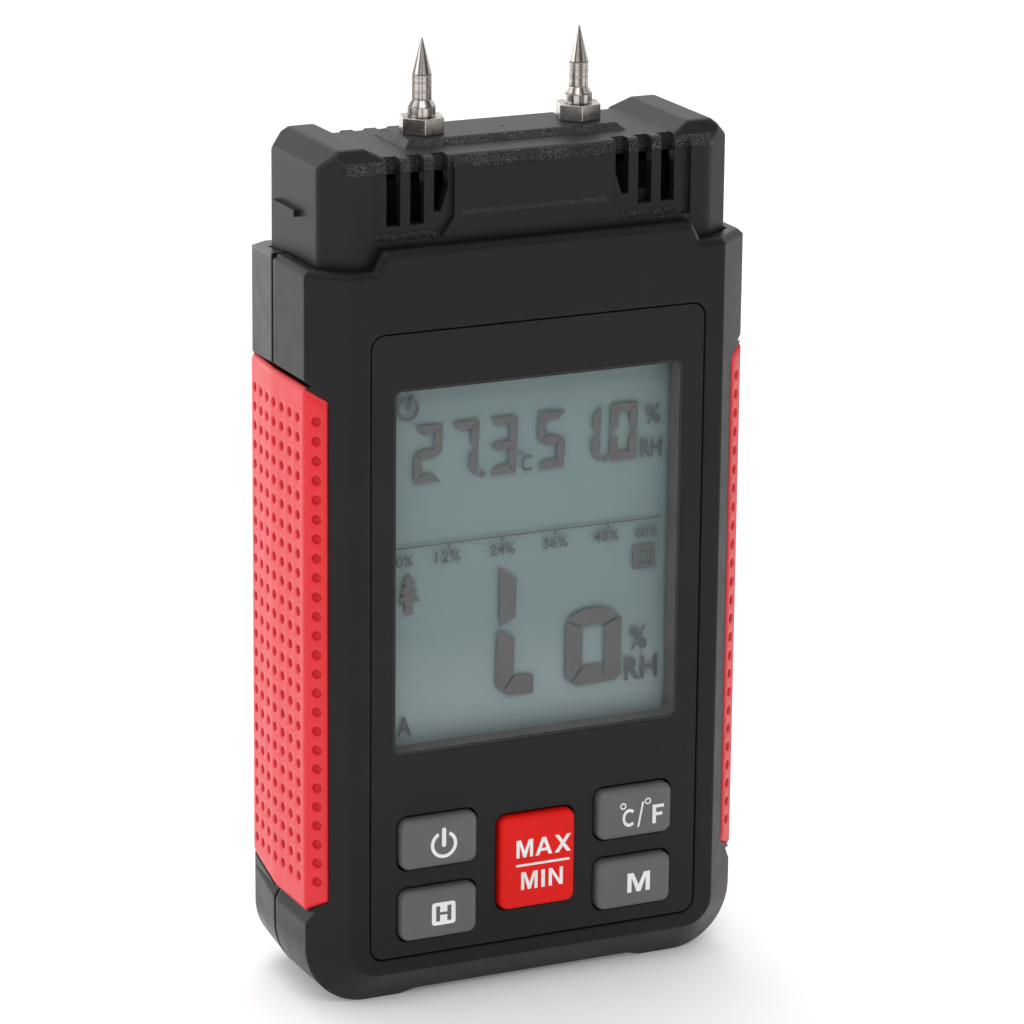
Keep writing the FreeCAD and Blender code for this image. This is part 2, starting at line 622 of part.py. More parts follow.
def make_front_shell():
    """Front half of the housing: bevelled face, panel seat, display and key openings, bosses and posts."""
    body = new_body("front_shell_moulding")
    skin = "seam - seam_gap"
    add(body, "Skin", "XZ", "front_face", skin, housing_outline())
    top = amount("rim_top") - 1
    on_front = at_level("y", "front_face")
    bevel = dress(body, "Chamfer", "FrontBevel", "bevel_deep",
                  lambda a, b: on_front(a, b) and min(a.z, b.z) < top)
    bevel.ChamferType = "Two distances"
    bind(bevel, "Size2", "bevel_across")
    doc.recompute()
    bevel_rim(body, skin)
    add(body, "SeamLip", "XZ", "seam - seam_gap - 0.5", "seam", housing_outline("seam_lip"))
    cut(body, "Cavity", "XZ", "cavity_shoulder", "seam + 1",
        centred("cavity_half", "cavity_floor", "cavity_top", "corner_radius - cavity_floor"))
    cut(body, "Well", "XZ", "front_inner", "cavity_shoulder + 1",
        centred("well_half", "well_floor", "cavity_top", "panel_radius"))
    seat_head(body, skin, "front_face")
    cut(body, "PanelSeat", "XZ", "front_face - 1", "panel_back",
        centred("panel_half + panel_groove", "panel_low - panel_groove", "panel_high + panel_groove",
                "panel_radius + panel_groove"))
    cut(body, "WindowOpening", "XZ", "front_face - 1", "front_inner + 1",
        window_outline("frame_wall", "frame_gap"))
    cut(body, "KeyOpenings", "XZ", "front_face - 1", "front_inner + 1", *key_openings())
    rods(body, "ScrewBosses", "XZ", "front_inner - 0.5", "seam",
         corners_of("boss_x", "boss_low_z", "boss_high_z"), "boss_radius")
    holes(body, "ScrewHoles", "XZ", "screw_tip - 1", "seam + 1",
          corners_of("boss_x", "boss_low_z", "boss_high_z"), "screw_hole")
    rods(body, "BoardPosts", "XZ", "front_inner - 0.5", "board_front - 0.05",
         corners_of("post_x", "post_low_z", "post_high_z"), "post_radius")
    holes(body, "PostHoles", "XZ", "front_inner + 1", "board_front",
          corners_of("post_x", "post_low_z", "post_high_z"), "post_hole")
    cut(body, "FootRecess", "XZ", "front_face - 1", "seam + 1", foot_recess())
    cut(body, "GripNotches", "XZ", "front_face - 1", "seam + 1", *side_notches())
    return body


def make_rear_shell():
    """Rear half of the housing: drafted sides, back bevel, battery bay, cover track and screw bosses."""
    body = new_body("rear_shell_moulding")
    skin = "seam + seam_gap"
    add(body, "Skin", "XZ", skin, "back_face", housing_outline(), taper=f"-{SHEET}.rear_draft")
    top = amount("rim_top") - 3
    on_back = at_level("y", "back_face")
    dress(body, "Chamfer", "BackBevel", "rear_bevel", lambda a, b: on_back(a, b) and min(a.z, b.z) < top)
    doc.recompute()
    add(body, "SeamLip", "XZ", "seam", "seam + seam_gap + 0.5", housing_outline("seam_lip"))
    cut(body, "Cavity", "XZ", "seam - 1", "rear_shoulder",
        centred("rear_cavity_half", "cavity_floor + 1", "cavity_top", "corner_radius - cavity_floor"))
    cut(body, "Well", "XZ", "rear_shoulder - 1", "back_inner",
        centred("well_half", "well_floor", "cavity_top", "panel_radius"))
    seat_head(body, skin, "back_face")
    for side in BOTH_SIDES:
        add(body, "RightFoot" if side > 0 else "LeftFoot", "XZ", skin, "rear_shoulder",
            mirrored(side, box("foot_inner", "half_width - corner_radius", "0", "cavity_floor + 1.5")))
    add(body, "Ledge", "XZ", "ledge_inner", "back_inner + 0.5",
        centred("ledge_half", "ledge_low", "ledge_high"))
    tray = "bay_floor - bay_wall"
    add(body, "Tray", "XZ", tray, "ledge_inner + 0.5",
        centred("bay_half + bay_wall", "bay_low - bay_wall", "bay_high + bay_wall"))
    cut(body, "BatteryBay", "XZ", "bay_floor", "back_face + 1", centred("bay_half", "bay_low", "bay_high"))
    cut(body, "CoverRecess", "XZ", "hatch_floor", "back_face + 1",
        centred("hatch_half", "0 - 1", "hatch_high"))
    cut(body, "CoverTrack", "XZ", "track_low", "track_high", centred("track_half", "0 - 1", "hatch_high"))
    rods(body, "ScrewBosses", "XZ", "seam + 0.1", "back_inner + 0.5",
         corners_of("boss_x", "boss_low_z", "boss_high_z"), "rear_boss_radius")
    holes(body, "ScrewHoles", "XZ", "seam - 1", "back_face + 1",
          corners_of("boss_x", "boss_low_z", "boss_high_z"), "screw_clear")
    holes(body, "Counterbores", "XZ", "screw_head_low", "back_face + 1",
          corners_of("boss_x", "boss_low_z", "boss_high_z"), "counterbore")
    cut(body, "FootRecess", "XZ", "seam - 1", "back_face + 1", foot_recess())
    cut(body, "GripNotches", "XZ", "seam - 1", "back_face + 1", *side_notches())
    return body


def make_grip(label, side):
    """Soft side grip: it wraps from the front bevel round the side to the back bevel."""
    body = new_body(label)
    face = "half_width + grip_proud"
    rear_face = "half_width - grip_rear_draft + grip_proud"
    front = "front_face + bevel_deep"
    outer = [
        ("grip_front_x + grip_proud", "grip_front_y - grip_proud"),
        (face, front),
        (face, "seam"),
        (rear_face, "grip_fold + grip_proud"),
        ("grip_rear_x + grip_proud", "grip_rear_y + grip_proud"),
    ]
    inner = [
        ("grip_rear_x - grip_thick", "grip_rear_y - grip_thick"),
        ("half_width - grip_rear_draft - grip_thick", "grip_fold - 0.5"),
        ("half_width - grip_thick", "seam"),
        ("half_width - grip_thick", f"{front} + 0.5"),
        ("grip_front_x - grip_thick", "grip_front_y + grip_thick"),
    ]
    add(body, "Section", "XY", "grip_bottom", "grip_top", mirrored(side, outer + inner))
    upper = [
        (front, "grip_top"),
        ("grip_front_y", "grip_top - grip_slant"),
        (f"{front} - 4", "grip_top - grip_slant"),
        (f"{front} - 4", "grip_top + 1"),
        (front, "grip_top + 1"),
    ]
    lower = [
        (front, "grip_bottom"),
        ("grip_front_y", "grip_bottom + grip_slant"),
        (f"{front} - 4", "grip_bottom + grip_slant"),
        (f"{front} - 4", "grip_bottom - 1"),
        (front, "grip_bottom - 1"),
    ]
    rear = [
        ("seam", "grip_bottom"),
        ("grip_fold", "grip_bottom + grip_slant"),
        ("grip_fold + 4", "grip_bottom + grip_slant + 0.8"),
        ("grip_fold + 4", "grip_bottom - 1"),
        ("seam", "grip_bottom - 1"),
    ]
    span = ("half_width - 6", "half_width + 1") if side > 0 else ("0 - half_width - 1", "6 - half_width")
    cut(body, "SlantedEnds", "YZ", *span, upper, lower, rear)
    return body


def make_housing():
    """Both shells, with the seats of the grips cut out of them, and the grips themselves."""
    grips = [make_grip("left_grip", -1), make_grip("right_grip", 1)]
    seats = doc.addObject("Part::Compound", "GripSeats")
    seats.Links = grips
    for label, moulding in (("front_shell", make_front_shell()), ("rear_shell", make_rear_shell())):
        shell = doc.addObject("Part::Cut", label)
        shell.Base = moulding
        shell.Tool = seats
        keep(shell, label)
    for grip in grips:
        keep(grip)


def make_sensor_head():
    """Hollow head: raised ends, bevelled top edges, probe platform, sunk vent areas, slots, cap catches."""
    body = new_body("sensor_head")
    add(body, "Foot", "XY", "head_foot", "neck_low", head_outline())
    add(body, "Neck", "XY", "neck_low - 0.5", "neck_high + 0.5", head_outline("0", "neck_inset"))
    add(body, "Block", "XY", "neck_high", "horn_top", head_outline())
    edge = "head_half + 1"
    side_cuts = []
    for side in BOTH_SIDES:
        side_cuts.append(mirrored(side, [("horn_outer", "horn_top"), ("head_half", "horn_side"),
                                         (edge, "horn_side"), (edge, "horn_top + 1"),
                                         ("horn_outer", "horn_top + 1")]))
    valley = [("valley_half", "valley_top"), ("horn_inner", "horn_top"), ("horn_inner", "horn_top + 1")]
    valley += [(sided(-1, x), z) for x, z in reversed(valley)]
    cut(body, "TopForm", "XZ", "0 - head_deep - 1", "head_deep + 1", *side_cuts, valley)
    bevels = [mirrored(side, [("top_bevel_y", "horn_top"), ("head_deep", "top_bevel_z"),
                              ("head_deep + 1", "top_bevel_z"), ("head_deep + 1", "horn_top + 1"),
                              ("top_bevel_y", "horn_top + 1")]) for side in BOTH_SIDES]
    cut(body, "TopBevels", "YZ", "0 - head_half - 1", "head_half + 1", *bevels)
    doc.recompute()
    corner_x = amount("head_corner_x")
    neck = amount("neck_high")

    def upright(a, b):
        at_corner = abs(abs(a.x) - corner_x) < NEAR
        plumb = abs(a.x - b.x) < NEAR and abs(a.y - b.y) < NEAR
        return at_corner and plumb and a.z + b.z > 2 * neck

    dress(body, "Fillet", "FrontCorners", "head_round", upright)
    doc.recompute()
    dress(body, "Fillet", "SoftEdges", "head_soft", lambda a, b: max(a.z, b.z) > neck + 0.5)
    doc.recompute()
    add(body, "Platform", "XY", "valley_top - 0.2", "platform_top",
        centred("platform_half", "0 - platform_deep", "platform_deep"), taper=f"-{SHEET}.platform_slope")
    doc.recompute()
    dress(body, "Fillet", "PlatformEdges", "platform_soft", at_level("z", "platform_top"))
    vents = [mirrored(side, [("vent_outer", "vent_low"), ("vent_outer", "horn_top + 1"),
                             ("vent_inner", "horn_top + 1"), ("vent_inner", "vent_bend"),
                             ("vent_inner_low", "vent_low")]) for side in BOTH_SIDES]
    cut(body, "FrontVentAreas", "XZ", "0 - head_deep - 1", "0 - vent_face", *vents)
    cut(body, "RearVentAreas", "XZ", "vent_face", "head_deep + 1", *vents)
    slots = []
    for side in BOTH_SIDES:
        for step, low in enumerate(("slot_short_low", "slot_low", "slot_low")):
            inner = "slot_first" + " + slot_pitch" * step
            outer = f"{inner} + slot_width"
            outline = [(outer, low), (outer, "horn_top + 1"), (inner, "horn_top + 1")]
            outline += [(inner, f"{low} + 3.3"), (f"{inner} + 1.1", low)] if step == 0 else [(inner, low)]
            slots.append(mirrored(side, outline))
    cut(body, "FrontSlots", "XZ", "0 - head_deep", "0 - slot_back", *slots)
    cut(body, "RearSlots", "XZ", "slot_back", "head_deep", *slots)
    cut(body, "Room", "XY", "head_foot - 1", "head_room_top",
        centred("head_room_half", "0 - head_room_deep", "head_room_deep"))
    catch = box("catch_front", "catch_back", "catch_low", "catch_high")
    add(body, "RightCatch", "YZ", "head_half - 0.5", "head_half + catch_proud", catch)
    add(body, "LeftCatch", "YZ", "0 - head_half - catch_proud", "0.5 - head_half", catch)
    holes(body, "Pinhole", "XY", "platform_top - 1.5", "platform_top + 1",
          [("0", "0 - pinhole_y")], "pinhole")
    holes(body, "StudHoles", "XY", "head_room_top - 1", "platform_top + 1",
          [(sided(side, "probe_x"), "0") for side in BOTH_SIDES], "stud_hole")
    return keep(body)


def plate(label, low_y, high_y, *outlines):
    """Flat piece that lies parallel to the front face."""
    body = new_body(label)
    add(body, "Plate", "XZ", low_y, high_y, *outlines)
    return keep(body)


def make_front_panel():
    """Glossy plate that fills the front, with the display and key openings."""
    body = plate("front_panel", "panel_front", "panel_back",
                 centred("panel_half", "panel_low", "panel_high", "panel_radius"))
    cut(body, "WindowOpening", "XZ", "panel_front - 1", "panel_back + 1",
        window_outline("frame_wall", "frame_gap"))
    cut(body, "KeyOpenings", "XZ", "panel_front - 1", "panel_back + 1", *key_openings())


def make_display():
    """Frame in the opening, clear window, display glass, backlight and the two conductive strips."""
    frame = plate("window_frame", "panel_front", "frame_back", window_outline("frame_wall"))
    cut(frame, "Opening", "XZ", "panel_front - 1", "frame_back + 1", window_outline())
    plate("display_window", "frame_back + 0.05", "lens_back",
          centred("lens_half", "window_low - lens_margin", "window_high + lens_margin"))
    plate("display_glass", "lcd_front", "lcd_back", centred("lcd_half", "lcd_low", "lcd_high"))
    plate("backlight_panel", "light_front", "light_back", centred("light_half", "light_low", "light_high"))
    for label, low in (
        ("lower_contact_strip", "lcd_low + 0.4"),
        ("upper_contact_strip", "lcd_high - 0.4 - strip_width"),
    ):
        plate(label, "lcd_back + 0.02", "board_front - 0.02",
              centred("strip_half", low, f"{low} + strip_width"))


def make_keys():
    """Five keys, each with a flange behind the wall, and the rubber mat whose domes return them."""
    for key in KEYS:
        body = new_body(key)
        add(body, "Cap", "XZ", "key_front", "flange_back", key_outline(key, "0", "key_radius"))
        dress(body, "Fillet", "SoftEdges", "key_round", at_level("y", "key_front"))
        doc.recompute()
        add(body, "Flange", "XZ", "flange_front", "flange_back", key_outline(key, "key_flange", "key_radius"))
        keep(body)
    mat = plate("keypad_mat", "mat_front", "mat_back", centred("mat_half", "mat_low", "mat_high"))
    rods(mat, "Domes", "XZ", "dome_front", "mat_front + 0.2",
         [(column, row) for column, row, half_height in KEYS.values()], "dome_radius")


def make_boards():
    """Main board, its chip and buzzer, and the air sensor board in the head."""
    board = plate("main_board", "board_front", "board_back", centred("board_half", "board_low", "board_high"))
    holes(board, "FixingHoles", "XZ", "board_front - 1", "board_back + 1",
          corners_of("post_x", "post_low_z", "post_high_z"), "board_hole")
    plate("processor_chip", "board_back", "board_back + chip_thick",
          around("chip_x", "chip_z", "chip_half", "chip_half"))
    buzzer = new_body("buzzer")
    spot = [("buzzer_x", "buzzer_z")]
    buzzer_top = "board_back + buzzer_thick"
    rods(buzzer, "Can", "XZ", "board_back", buzzer_top, spot, "buzzer_radius")
    holes(buzzer, "SoundHole", "XZ", f"{buzzer_top} - 1", f"{buzzer_top} + 1", spot, "sound_hole")
    keep(buzzer)
    plate("air_sensor_board", "air_board_front", "air_board_back",
          centred("air_board_half", "air_board_low", "air_board_high"))
    plate("air_sensor", "air_board_front - air_sensor_thick", "air_board_front",
          around("air_sensor_x", "air_sensor_z", "air_sensor_half", "air_sensor_half"))


def make_board_screws():
    """Four small screws that hold the main board on its posts."""
    body = new_body("board_screws", several=True)
    spots = corners_of("post_x", "post_low_z", "post_high_z")
    rods(body, "Shanks", "XZ", "front_inner + 3", "board_back + 0.5", spots, "post_screw")
    rods(body, "Heads", "XZ", "board_back", "board_back + 1.2", spots, "post_screw_head")
    keep(body)


def make_case_screws():
    """Four long screws that hold the shells together from the back, with cross slots in their heads."""
    body = new_body("case_screws", several=True)
    spots = corners_of("boss_x", "boss_low_z", "boss_high_z")
    rods(body, "Shanks", "XZ", "screw_tip", "screw_head_low + 0.5", spots, "screw_radius")
    rods(body, "Heads", "XZ", "screw_head_low", "screw_head_high", spots, "screw_head")
    for name, half_x, half_z in (
        ("LevelSlots", "screw_slot_length", "screw_slot_width"),
        ("UprightSlots", "screw_slot_width", "screw_slot_length"),
    ):
        slots = [around(x, z, half_x, half_z) for x, z in spots]
        cut(body, name, "XZ", "screw_head_high - screw_slot_depth", "screw_head_high + 1", *slots)
    keep(body)


def make_battery_cover():
    """Flat cover that slides down off the back: a plate with a tongue on each side and thumb ridges."""
    body = plate("battery_cover", "cover_inner", "cover_outer",
                 centred("cover_half", "cover_low", "cover_high"))
    add(body, "Tongues", "XZ", "tongue_low", "tongue_high",
        centred("tongue_half", "cover_low", "cover_high"))
    ridges = []
    for step in range(5):
        low = "ridge_first" + " + ridge_pitch" * step
        ridges.append(centred("ridge_half", low, f"{low} + ridge_width"))
    add(body, "ThumbRidges", "XZ", "cover_outer - 0.2", "cover_outer + ridge_proud", *ridges)


def make_batteries():
    """Three cells side by side, and the sheet-metal contacts at the two ends of the bay."""
    columns = ["0 - cell_pitch", "0", "cell_pitch"]
    for number, column in enumerate(columns, start=1):
        body = new_body(f"battery_{number}")
        spot = [(column, "cell_y")]
        rods(body, "Can", "XY", "cell_low", "cell_low + cell_length", spot, "cell_radius")
        rods(body, "Nub", "XY", "cell_low + cell_length - 0.5", "cell_low + cell_length + nub_height", spot,
             "nub_radius")
        keep(body)
    plates = [around(x, "cell_y", "contact_half", "contact_half") for x in columns]
    spots = [(x, "cell_y") for x in columns]
    lower = new_body("lower_battery_contacts", several=True)
    add(lower, "Plates", "XY", "bay_low + 0.05", "bay_low + 0.05 + contact_thick", *plates)
    rods(lower, "Buttons", "XY", "bay_low + 0.2", "cell_low - 0.02", spots, "nub_radius")
    upper = new_body("upper_battery_contacts", several=True)
    add(upper, "Plates", "XY", "bay_high - 0.05 - contact_thick", "bay_high - 0.05", *plates)
    rods(upper, "Buttons", "XY", "cell_low + cell_length + nub_height + 0.02", "bay_high - 0.2",
         spots, "nub_radius")
    keep(lower)
    keep(upper)


def make_post(name):
    """Hexagonal electrode post on a stud, with a socket for the probe."""
    hexagon = primitive("Prism", f"{name}_hexagon", "hex_low",
                        Circumradius="hex_radius", Height="hex_high - hex_low")
    bind(hexagon, "Placement.Rotation.Angle", "hex_turn")
    stud = primitive("Cylinder", f"{name}_stud", "stud_low",
                     Radius="stud_radius", Height="hex_high - stud_low")
    socket = primitive("Cylinder", f"{name}_socket", "socket_low",
                       Radius="socket_radius", Height="hex_high - socket_low + 1")
    solid = join("Fuse", f"{name}_post_solid", hexagon, stud)
    return join("Cut", f"{name}_electrode_post", solid, socket)


def make_nut(name):
    """Nut that clamps the post and its strap inside the head."""
    solid = primitive("Prism", f"{name}_nut_body", "nut_low",
                      Circumradius="hex_radius", Height="nut_high - nut_low")
    bore = primitive("Cylinder", f"{name}_nut_hole", "nut_low - 1",
                     Radius="stud_radius + 0.02", Height="nut_high - nut_low + 2")
    return join("Cut", f"{name}_electrode_nut", solid, bore)


def make_strap(name):
    """Sheet-metal strap from the post down to the main board."""
    body = new_body(f"{name}_contact_strap")
    under = "nut_high + 0.02"
    top = "nut_high + 0.42"
    leg_front = "board_back + 0.05"
    rods(body, "Ring", "XY", under, top, [("0", "0")], "strap_ring")
    add(body, "Arm", "XY", under, top, centred("strap_half", leg_front, "0"))
    add(body, "Leg", "XY", "strap_low", top, centred("strap_half", leg_front, f"{leg_front} + 0.4"))
    holes(body, "StudHole", "XY", "nut_high - 1", f"{top} + 1", [("0", "0")], "stud_hole")
    return body


def make_probe(label):
    """Pointed probe turned from bar: threaded stem, collar, shoulder, shank and cone."""
    body = new_body(label)
    half_section = [("0", "pin_stem_low"), ("pin_stem", "pin_stem_low"), ("pin_stem", "collar_low"),
                    ("collar_radius", "collar_low"), ("collar_radius", "collar_high"),
                    ("shank_radius", "shank_low"), ("shank_radius", "shank_high"),
                    ("tip_radius", "tip_top"), ("0", "tip_top")]
    sketch = draw(body, "HalfSection", "XZ", "0", [half_section])
    turning = body.newObject("PartDesign::Revolution", "Turning")
    turning.Profile = sketch
    turning.ReferenceAxis = (sketch, ["V_Axis"])
    turning.Angle = 360
    sketch.Visibility = False
    doc.recompute()
    return body


def make_electrode(side):
    """One electrode: post, nut, strap and probe, all on one upright axis."""
    name = "right" if side > 0 else "left"
    pieces = (make_post(name), make_nut(name), make_strap(name), make_probe(f"{name}_probe_pin"))
    for piece in pieces:
        piece.Placement = Placement(Vector(side * amount("probe_x"), 0, 0), Rotation())
        bind(piece, "Placement.Base.x", sided(side, "probe_x"))
        keep(piece)


def export_nodes():
    """Check every object, then write one file for each sub-part."""
    doc.recompute()
    for item in doc.Objects:
        if "Invalid" in item.State or "Error" in item.State:
            raise RuntimeError(f"{item.Label} failed: {item.State}")
    for item in nodes:
        if item.Shape.isNull() or not item.Shape.isValid():
            raise RuntimeError(f"{item.Label} has no valid shape")
    os.makedirs("parts", exist_ok=True)
    for item in nodes:
        item.Shape.exportStep(f"parts/{item.Label}.step")
        print(item.Label, len(item.Shape.Solids), round(item.Shape.Volume, 1))


make_housing()
make_sensor_head()
make_front_panel()
make_display()
make_keys()
make_boards()
make_board_screws()
make_case_screws()
make_battery_cover()
make_batteries()
for side in BOTH_SIDES:
    make_electrode(side)
export_nodes()
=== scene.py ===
"""Looks of the hand-held pin moisture meter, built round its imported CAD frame.

Blender units are metres, in the CAD's frame: +Z up, the display faces -Y, +X is the viewer's right.
The measures of pieces are in millimetres and are multiplied by MM where Blender gets them. The places of
the camera and the lights, and the floor's radius, are in metres.
"""

import json
import math

import bmesh
import bpy
from mathutils import Matrix, Vector


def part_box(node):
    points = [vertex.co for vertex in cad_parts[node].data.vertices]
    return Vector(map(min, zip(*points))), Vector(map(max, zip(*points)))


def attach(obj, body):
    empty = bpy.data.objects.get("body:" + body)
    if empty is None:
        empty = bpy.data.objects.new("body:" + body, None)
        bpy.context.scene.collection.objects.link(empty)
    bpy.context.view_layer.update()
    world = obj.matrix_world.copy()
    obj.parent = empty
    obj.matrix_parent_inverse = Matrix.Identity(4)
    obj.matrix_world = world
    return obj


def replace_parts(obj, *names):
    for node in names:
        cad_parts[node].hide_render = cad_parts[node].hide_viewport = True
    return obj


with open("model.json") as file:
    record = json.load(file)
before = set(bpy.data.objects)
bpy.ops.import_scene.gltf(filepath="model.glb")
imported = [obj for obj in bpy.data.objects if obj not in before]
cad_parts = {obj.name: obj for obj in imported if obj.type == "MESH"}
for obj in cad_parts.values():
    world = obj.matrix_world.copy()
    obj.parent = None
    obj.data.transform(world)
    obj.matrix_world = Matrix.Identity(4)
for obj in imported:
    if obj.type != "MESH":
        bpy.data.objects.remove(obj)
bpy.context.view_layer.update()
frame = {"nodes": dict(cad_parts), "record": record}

MM = 0.001
HOUSING = "housing"

# Camera: turn about the upright axis, tilt below the horizon, roll, aim point, distance and lens.
CAMERA_YAW = 25.26
CAMERA_TILT = 16.40
CAMERA_ROLL = 0.566
CAMERA_AIM = (0.0025, 0.0, 0.0695)
CAMERA_DISTANCE = 0.7302
CAMERA_LENS = 172.8

# Where a probe stands from the middle.
PROBE_X_MM = 12.5
# Heights between which the hexagons' plain colour, painted darker for their dark reflection, gives way to the
# probes' painted reflection streaks.
HEXAGON_FADE_MM = (130.68, 130.72)
# Heights of the thin painted shade lines where a probe steps: above the collar, below the shank and below the
# cone.
PAINTED_SHADE_STEPS_MM = (132.15, 133.2, 136.8)
# Half the height of a painted shade line.
LINE_HALF_MM = 0.09
# Lower and upper end of the finely grooved shank.
SHANK_MM = (133.3, 136.7)
# Depths between which the display frame's dark front edge gives way to its inner walls.
FRAME_FADE_MM = (-14.38, -14.28)
# Heights between which painted light makes the display's sheet lighter downwards.
SHEET_PAINTED_LIGHT_MM = (40.5, 56.0)
# Rough bands of the head, which also get painted glints: lower and upper height, and where each starts and
# ends from the middle.
GRAIN_BANDS_MM = [
    (118.5, 119.2, 0.0, 11.6),
    (115.3, 116.4, 14.5, 25.0),
    (125.3, 127.0, 0.0, 29.0),
    (127.3, 128.25, 0.0, 18.6),
]


# ---------------------------------------------------------------- materials

def new_material(name, roughness=0.5, metallic=0.0, specular=0.5):
    """A node material with a Principled shader. Values that are the same all over are set on its sockets."""
    made = bpy.data.materials.new(name)
    made.use_nodes = True
    shader = made.node_tree.nodes["Principled BSDF"]
    shader.inputs["Roughness"].default_value = roughness
    shader.inputs["Metallic"].default_value = metallic
    shader.inputs["Specular IOR Level"].default_value = specular
    return made, made.node_tree, shader


def node(tree, kind, values=None, **settings):
    """Add a node, set its own settings, and give its inputs a value or a link."""
    made = tree.nodes.new("ShaderNode" + kind)
    for key, value in settings.items():
        setattr(made, key, value)
    for key, value in (values or {}).items():
        socket = made.inputs[key]
        if isinstance(value, bpy.types.NodeSocket):
            tree.links.new(value, socket)
        else:
            socket.default_value = value
    return made


def noise(tree, size_mm, detail=2.0, stretch=(1.0, 1.0, 1.0)):
    """Noise with features of about size_mm, fixed to the object. Returns its value socket."""
    place = node(tree, "TexCoord").outputs["Object"]
    if stretch != (1.0, 1.0, 1.0):
        place = node(tree, "Mapping", {"Vector": place, "Scale": stretch}).outputs["Vector"]
    made = node(tree, "TexNoise", {"Vector": place, "Scale": 1.0 / (size_mm * MM), "Detail": detail})
    return made.outputs["Fac"]


def between(tree, factor, low, high, start=0.3, end=0.7):
    """A value from start to end, by default the middle of a noise, spread from low to high."""
    made = node(tree, "MapRange", {"Value": factor, "From Min": start, "From Max": end,
                                   "To Min": low, "To Max": high})
    return made.outputs["Result"]


def shades(tree, factor, dark, light):
    """A colour from dark to light, over the middle part of a factor."""
    ramp = node(tree, "ValToRGB", {"Fac": factor})
    ramp.color_ramp.elements[0].position = 0.3
    ramp.color_ramp.elements[1].position = 0.7
    ramp.color_ramp.elements[0].color = (*dark, 1.0)
    ramp.color_ramp.elements[1].color = (*light, 1.0)
    return ramp.outputs["Color"]


def within(tree, place, low_mm, high_mm):
    """1 where a coordinate lies between two sizes in millimetres, otherwise 0."""
    values = {0: place, 1: (low_mm + high_mm) / 2 * MM, 2: (high_mm - low_mm) / 2 * MM}
    return node(tree, "Math", values, operation="COMPARE").outputs[0]


def worked_out(tree, operation, first, second=0.0):
    """A sum, product or other calculation with one or two numbers or sockets."""
    return node(tree, "Math", {0: first, 1: second}, operation=operation).outputs[0]


def mixed(tree, factor, first, second):
    """Mix two colours or colour sockets by a factor."""
    return node(tree, "Mix", {0: factor, 6: first, 7: second}, data_type="RGBA").outputs[2]


def object_place(tree):
    """The object's own X, Y and Z as sockets."""
    return node(tree, "SeparateXYZ", {"Vector": node(tree, "TexCoord").outputs["Object"]}).outputs


def scaled(colour, share):
    """The colour made darker or lighter."""
    return tuple(channel * share for channel in colour)


def bump(tree, shader, height, depth_mm, edge_mm=0.0):
    """Relief of a depth on the surface, over edges that are softened by a radius."""
    values = {"Height": height, "Distance": depth_mm * MM, "Strength": 1.0}
    if edge_mm:
        values["Normal"] = node(tree, "Bevel", {"Radius": edge_mm * MM}, samples=4).outputs["Normal"]
    made = node(tree, "Bump", values)
    tree.links.new(made.outputs["Normal"], shader.inputs["Normal"])


def moulded(name, colour, roughness, grain_mm=0.35, depth_mm=0.012, edge_mm=0.0, specular=0.5,
            cloud=0.10, uneven=0.05):
    """Moulded plastic or rubber: fine grain, a slow cloud in the colour and an uneven gloss."""
    made, tree, shader = new_material(name, roughness, specular=specular)
    slow = noise(tree, 14.0, 3.0)
    colours = shades(tree, slow, scaled(colour, 1 - cloud), scaled(colour, 1 + cloud))
    tree.links.new(colours, shader.inputs["Base Color"])
    gloss = between(tree, noise(tree, 3.0, 4.0), roughness - uneven, roughness + uneven)
    tree.links.new(gloss, shader.inputs["Roughness"])
    bump(tree, shader, noise(tree, grain_mm, 2.0), depth_mm, edge_mm)
    return made


def turned_metal(name, colour, roughness, ring_mm=0.25, depth_mm=0.004):
    """Turned and plated metal: rings of tool marks round the upright axis, and slightly uneven gloss."""
    made, tree, shader = new_material(name, roughness, metallic=1.0)
    tint = shades(tree, noise(tree, 1.2, 3.0), scaled(colour, 0.90), scaled(colour, 1.08))
    tree.links.new(tint, shader.inputs["Base Color"])
    gloss = between(tree, noise(tree, 0.8, 3.0), roughness - 0.05, roughness + 0.07)
    tree.links.new(gloss, shader.inputs["Roughness"])
    rings = noise(tree, ring_mm, 2.0, stretch=(0.05, 0.05, 1.0))
    bump(tree, shader, rings, depth_mm, edge_mm=0.08)
    return made


def probe_painted_reflections(tree, place):
    """Painted reflections: colour that changes round the axis of the nearer probe, and a plain one on the
    hexagons below it, painted darker for their dark reflection.
    """
    sideways = worked_out(tree, "ABSOLUTE", place["X"])
    sideways = worked_out(tree, "SUBTRACT", sideways, PROBE_X_MM * MM)
    spoke = node(tree, "CombineXYZ", {"X": sideways, "Y": place["Y"]}).outputs[0]
    around = node(tree, "VectorMath", {0: spoke}, operation="NORMALIZE").outputs[0]
    # The streaks round the axis are painted reflections of the surroundings.
    painted_streaks = node(tree, "TexNoise", {"Vector": around, "Scale": 2.2, "Detail": 2.0}).outputs["Fac"]
    painted_streaks = between(tree, painted_streaks, 0.0, 1.0, 0.36, 0.58)
    bands = shades(tree, painted_streaks, (0.15, 0.130, 0.120), (0.66, 0.61, 0.575))
    # The hexagons' plain tint is painted darker, standing in for their dark reflection.
    plain = shades(tree, noise(tree, 1.2, 3.0), (0.36, 0.33, 0.31), (0.46, 0.43, 0.40))
    start, end = (level * MM for level in HEXAGON_FADE_MM)
    return mixed(tree, between(tree, place["Z"], 0.0, 1.0, start, end), plain, bands)


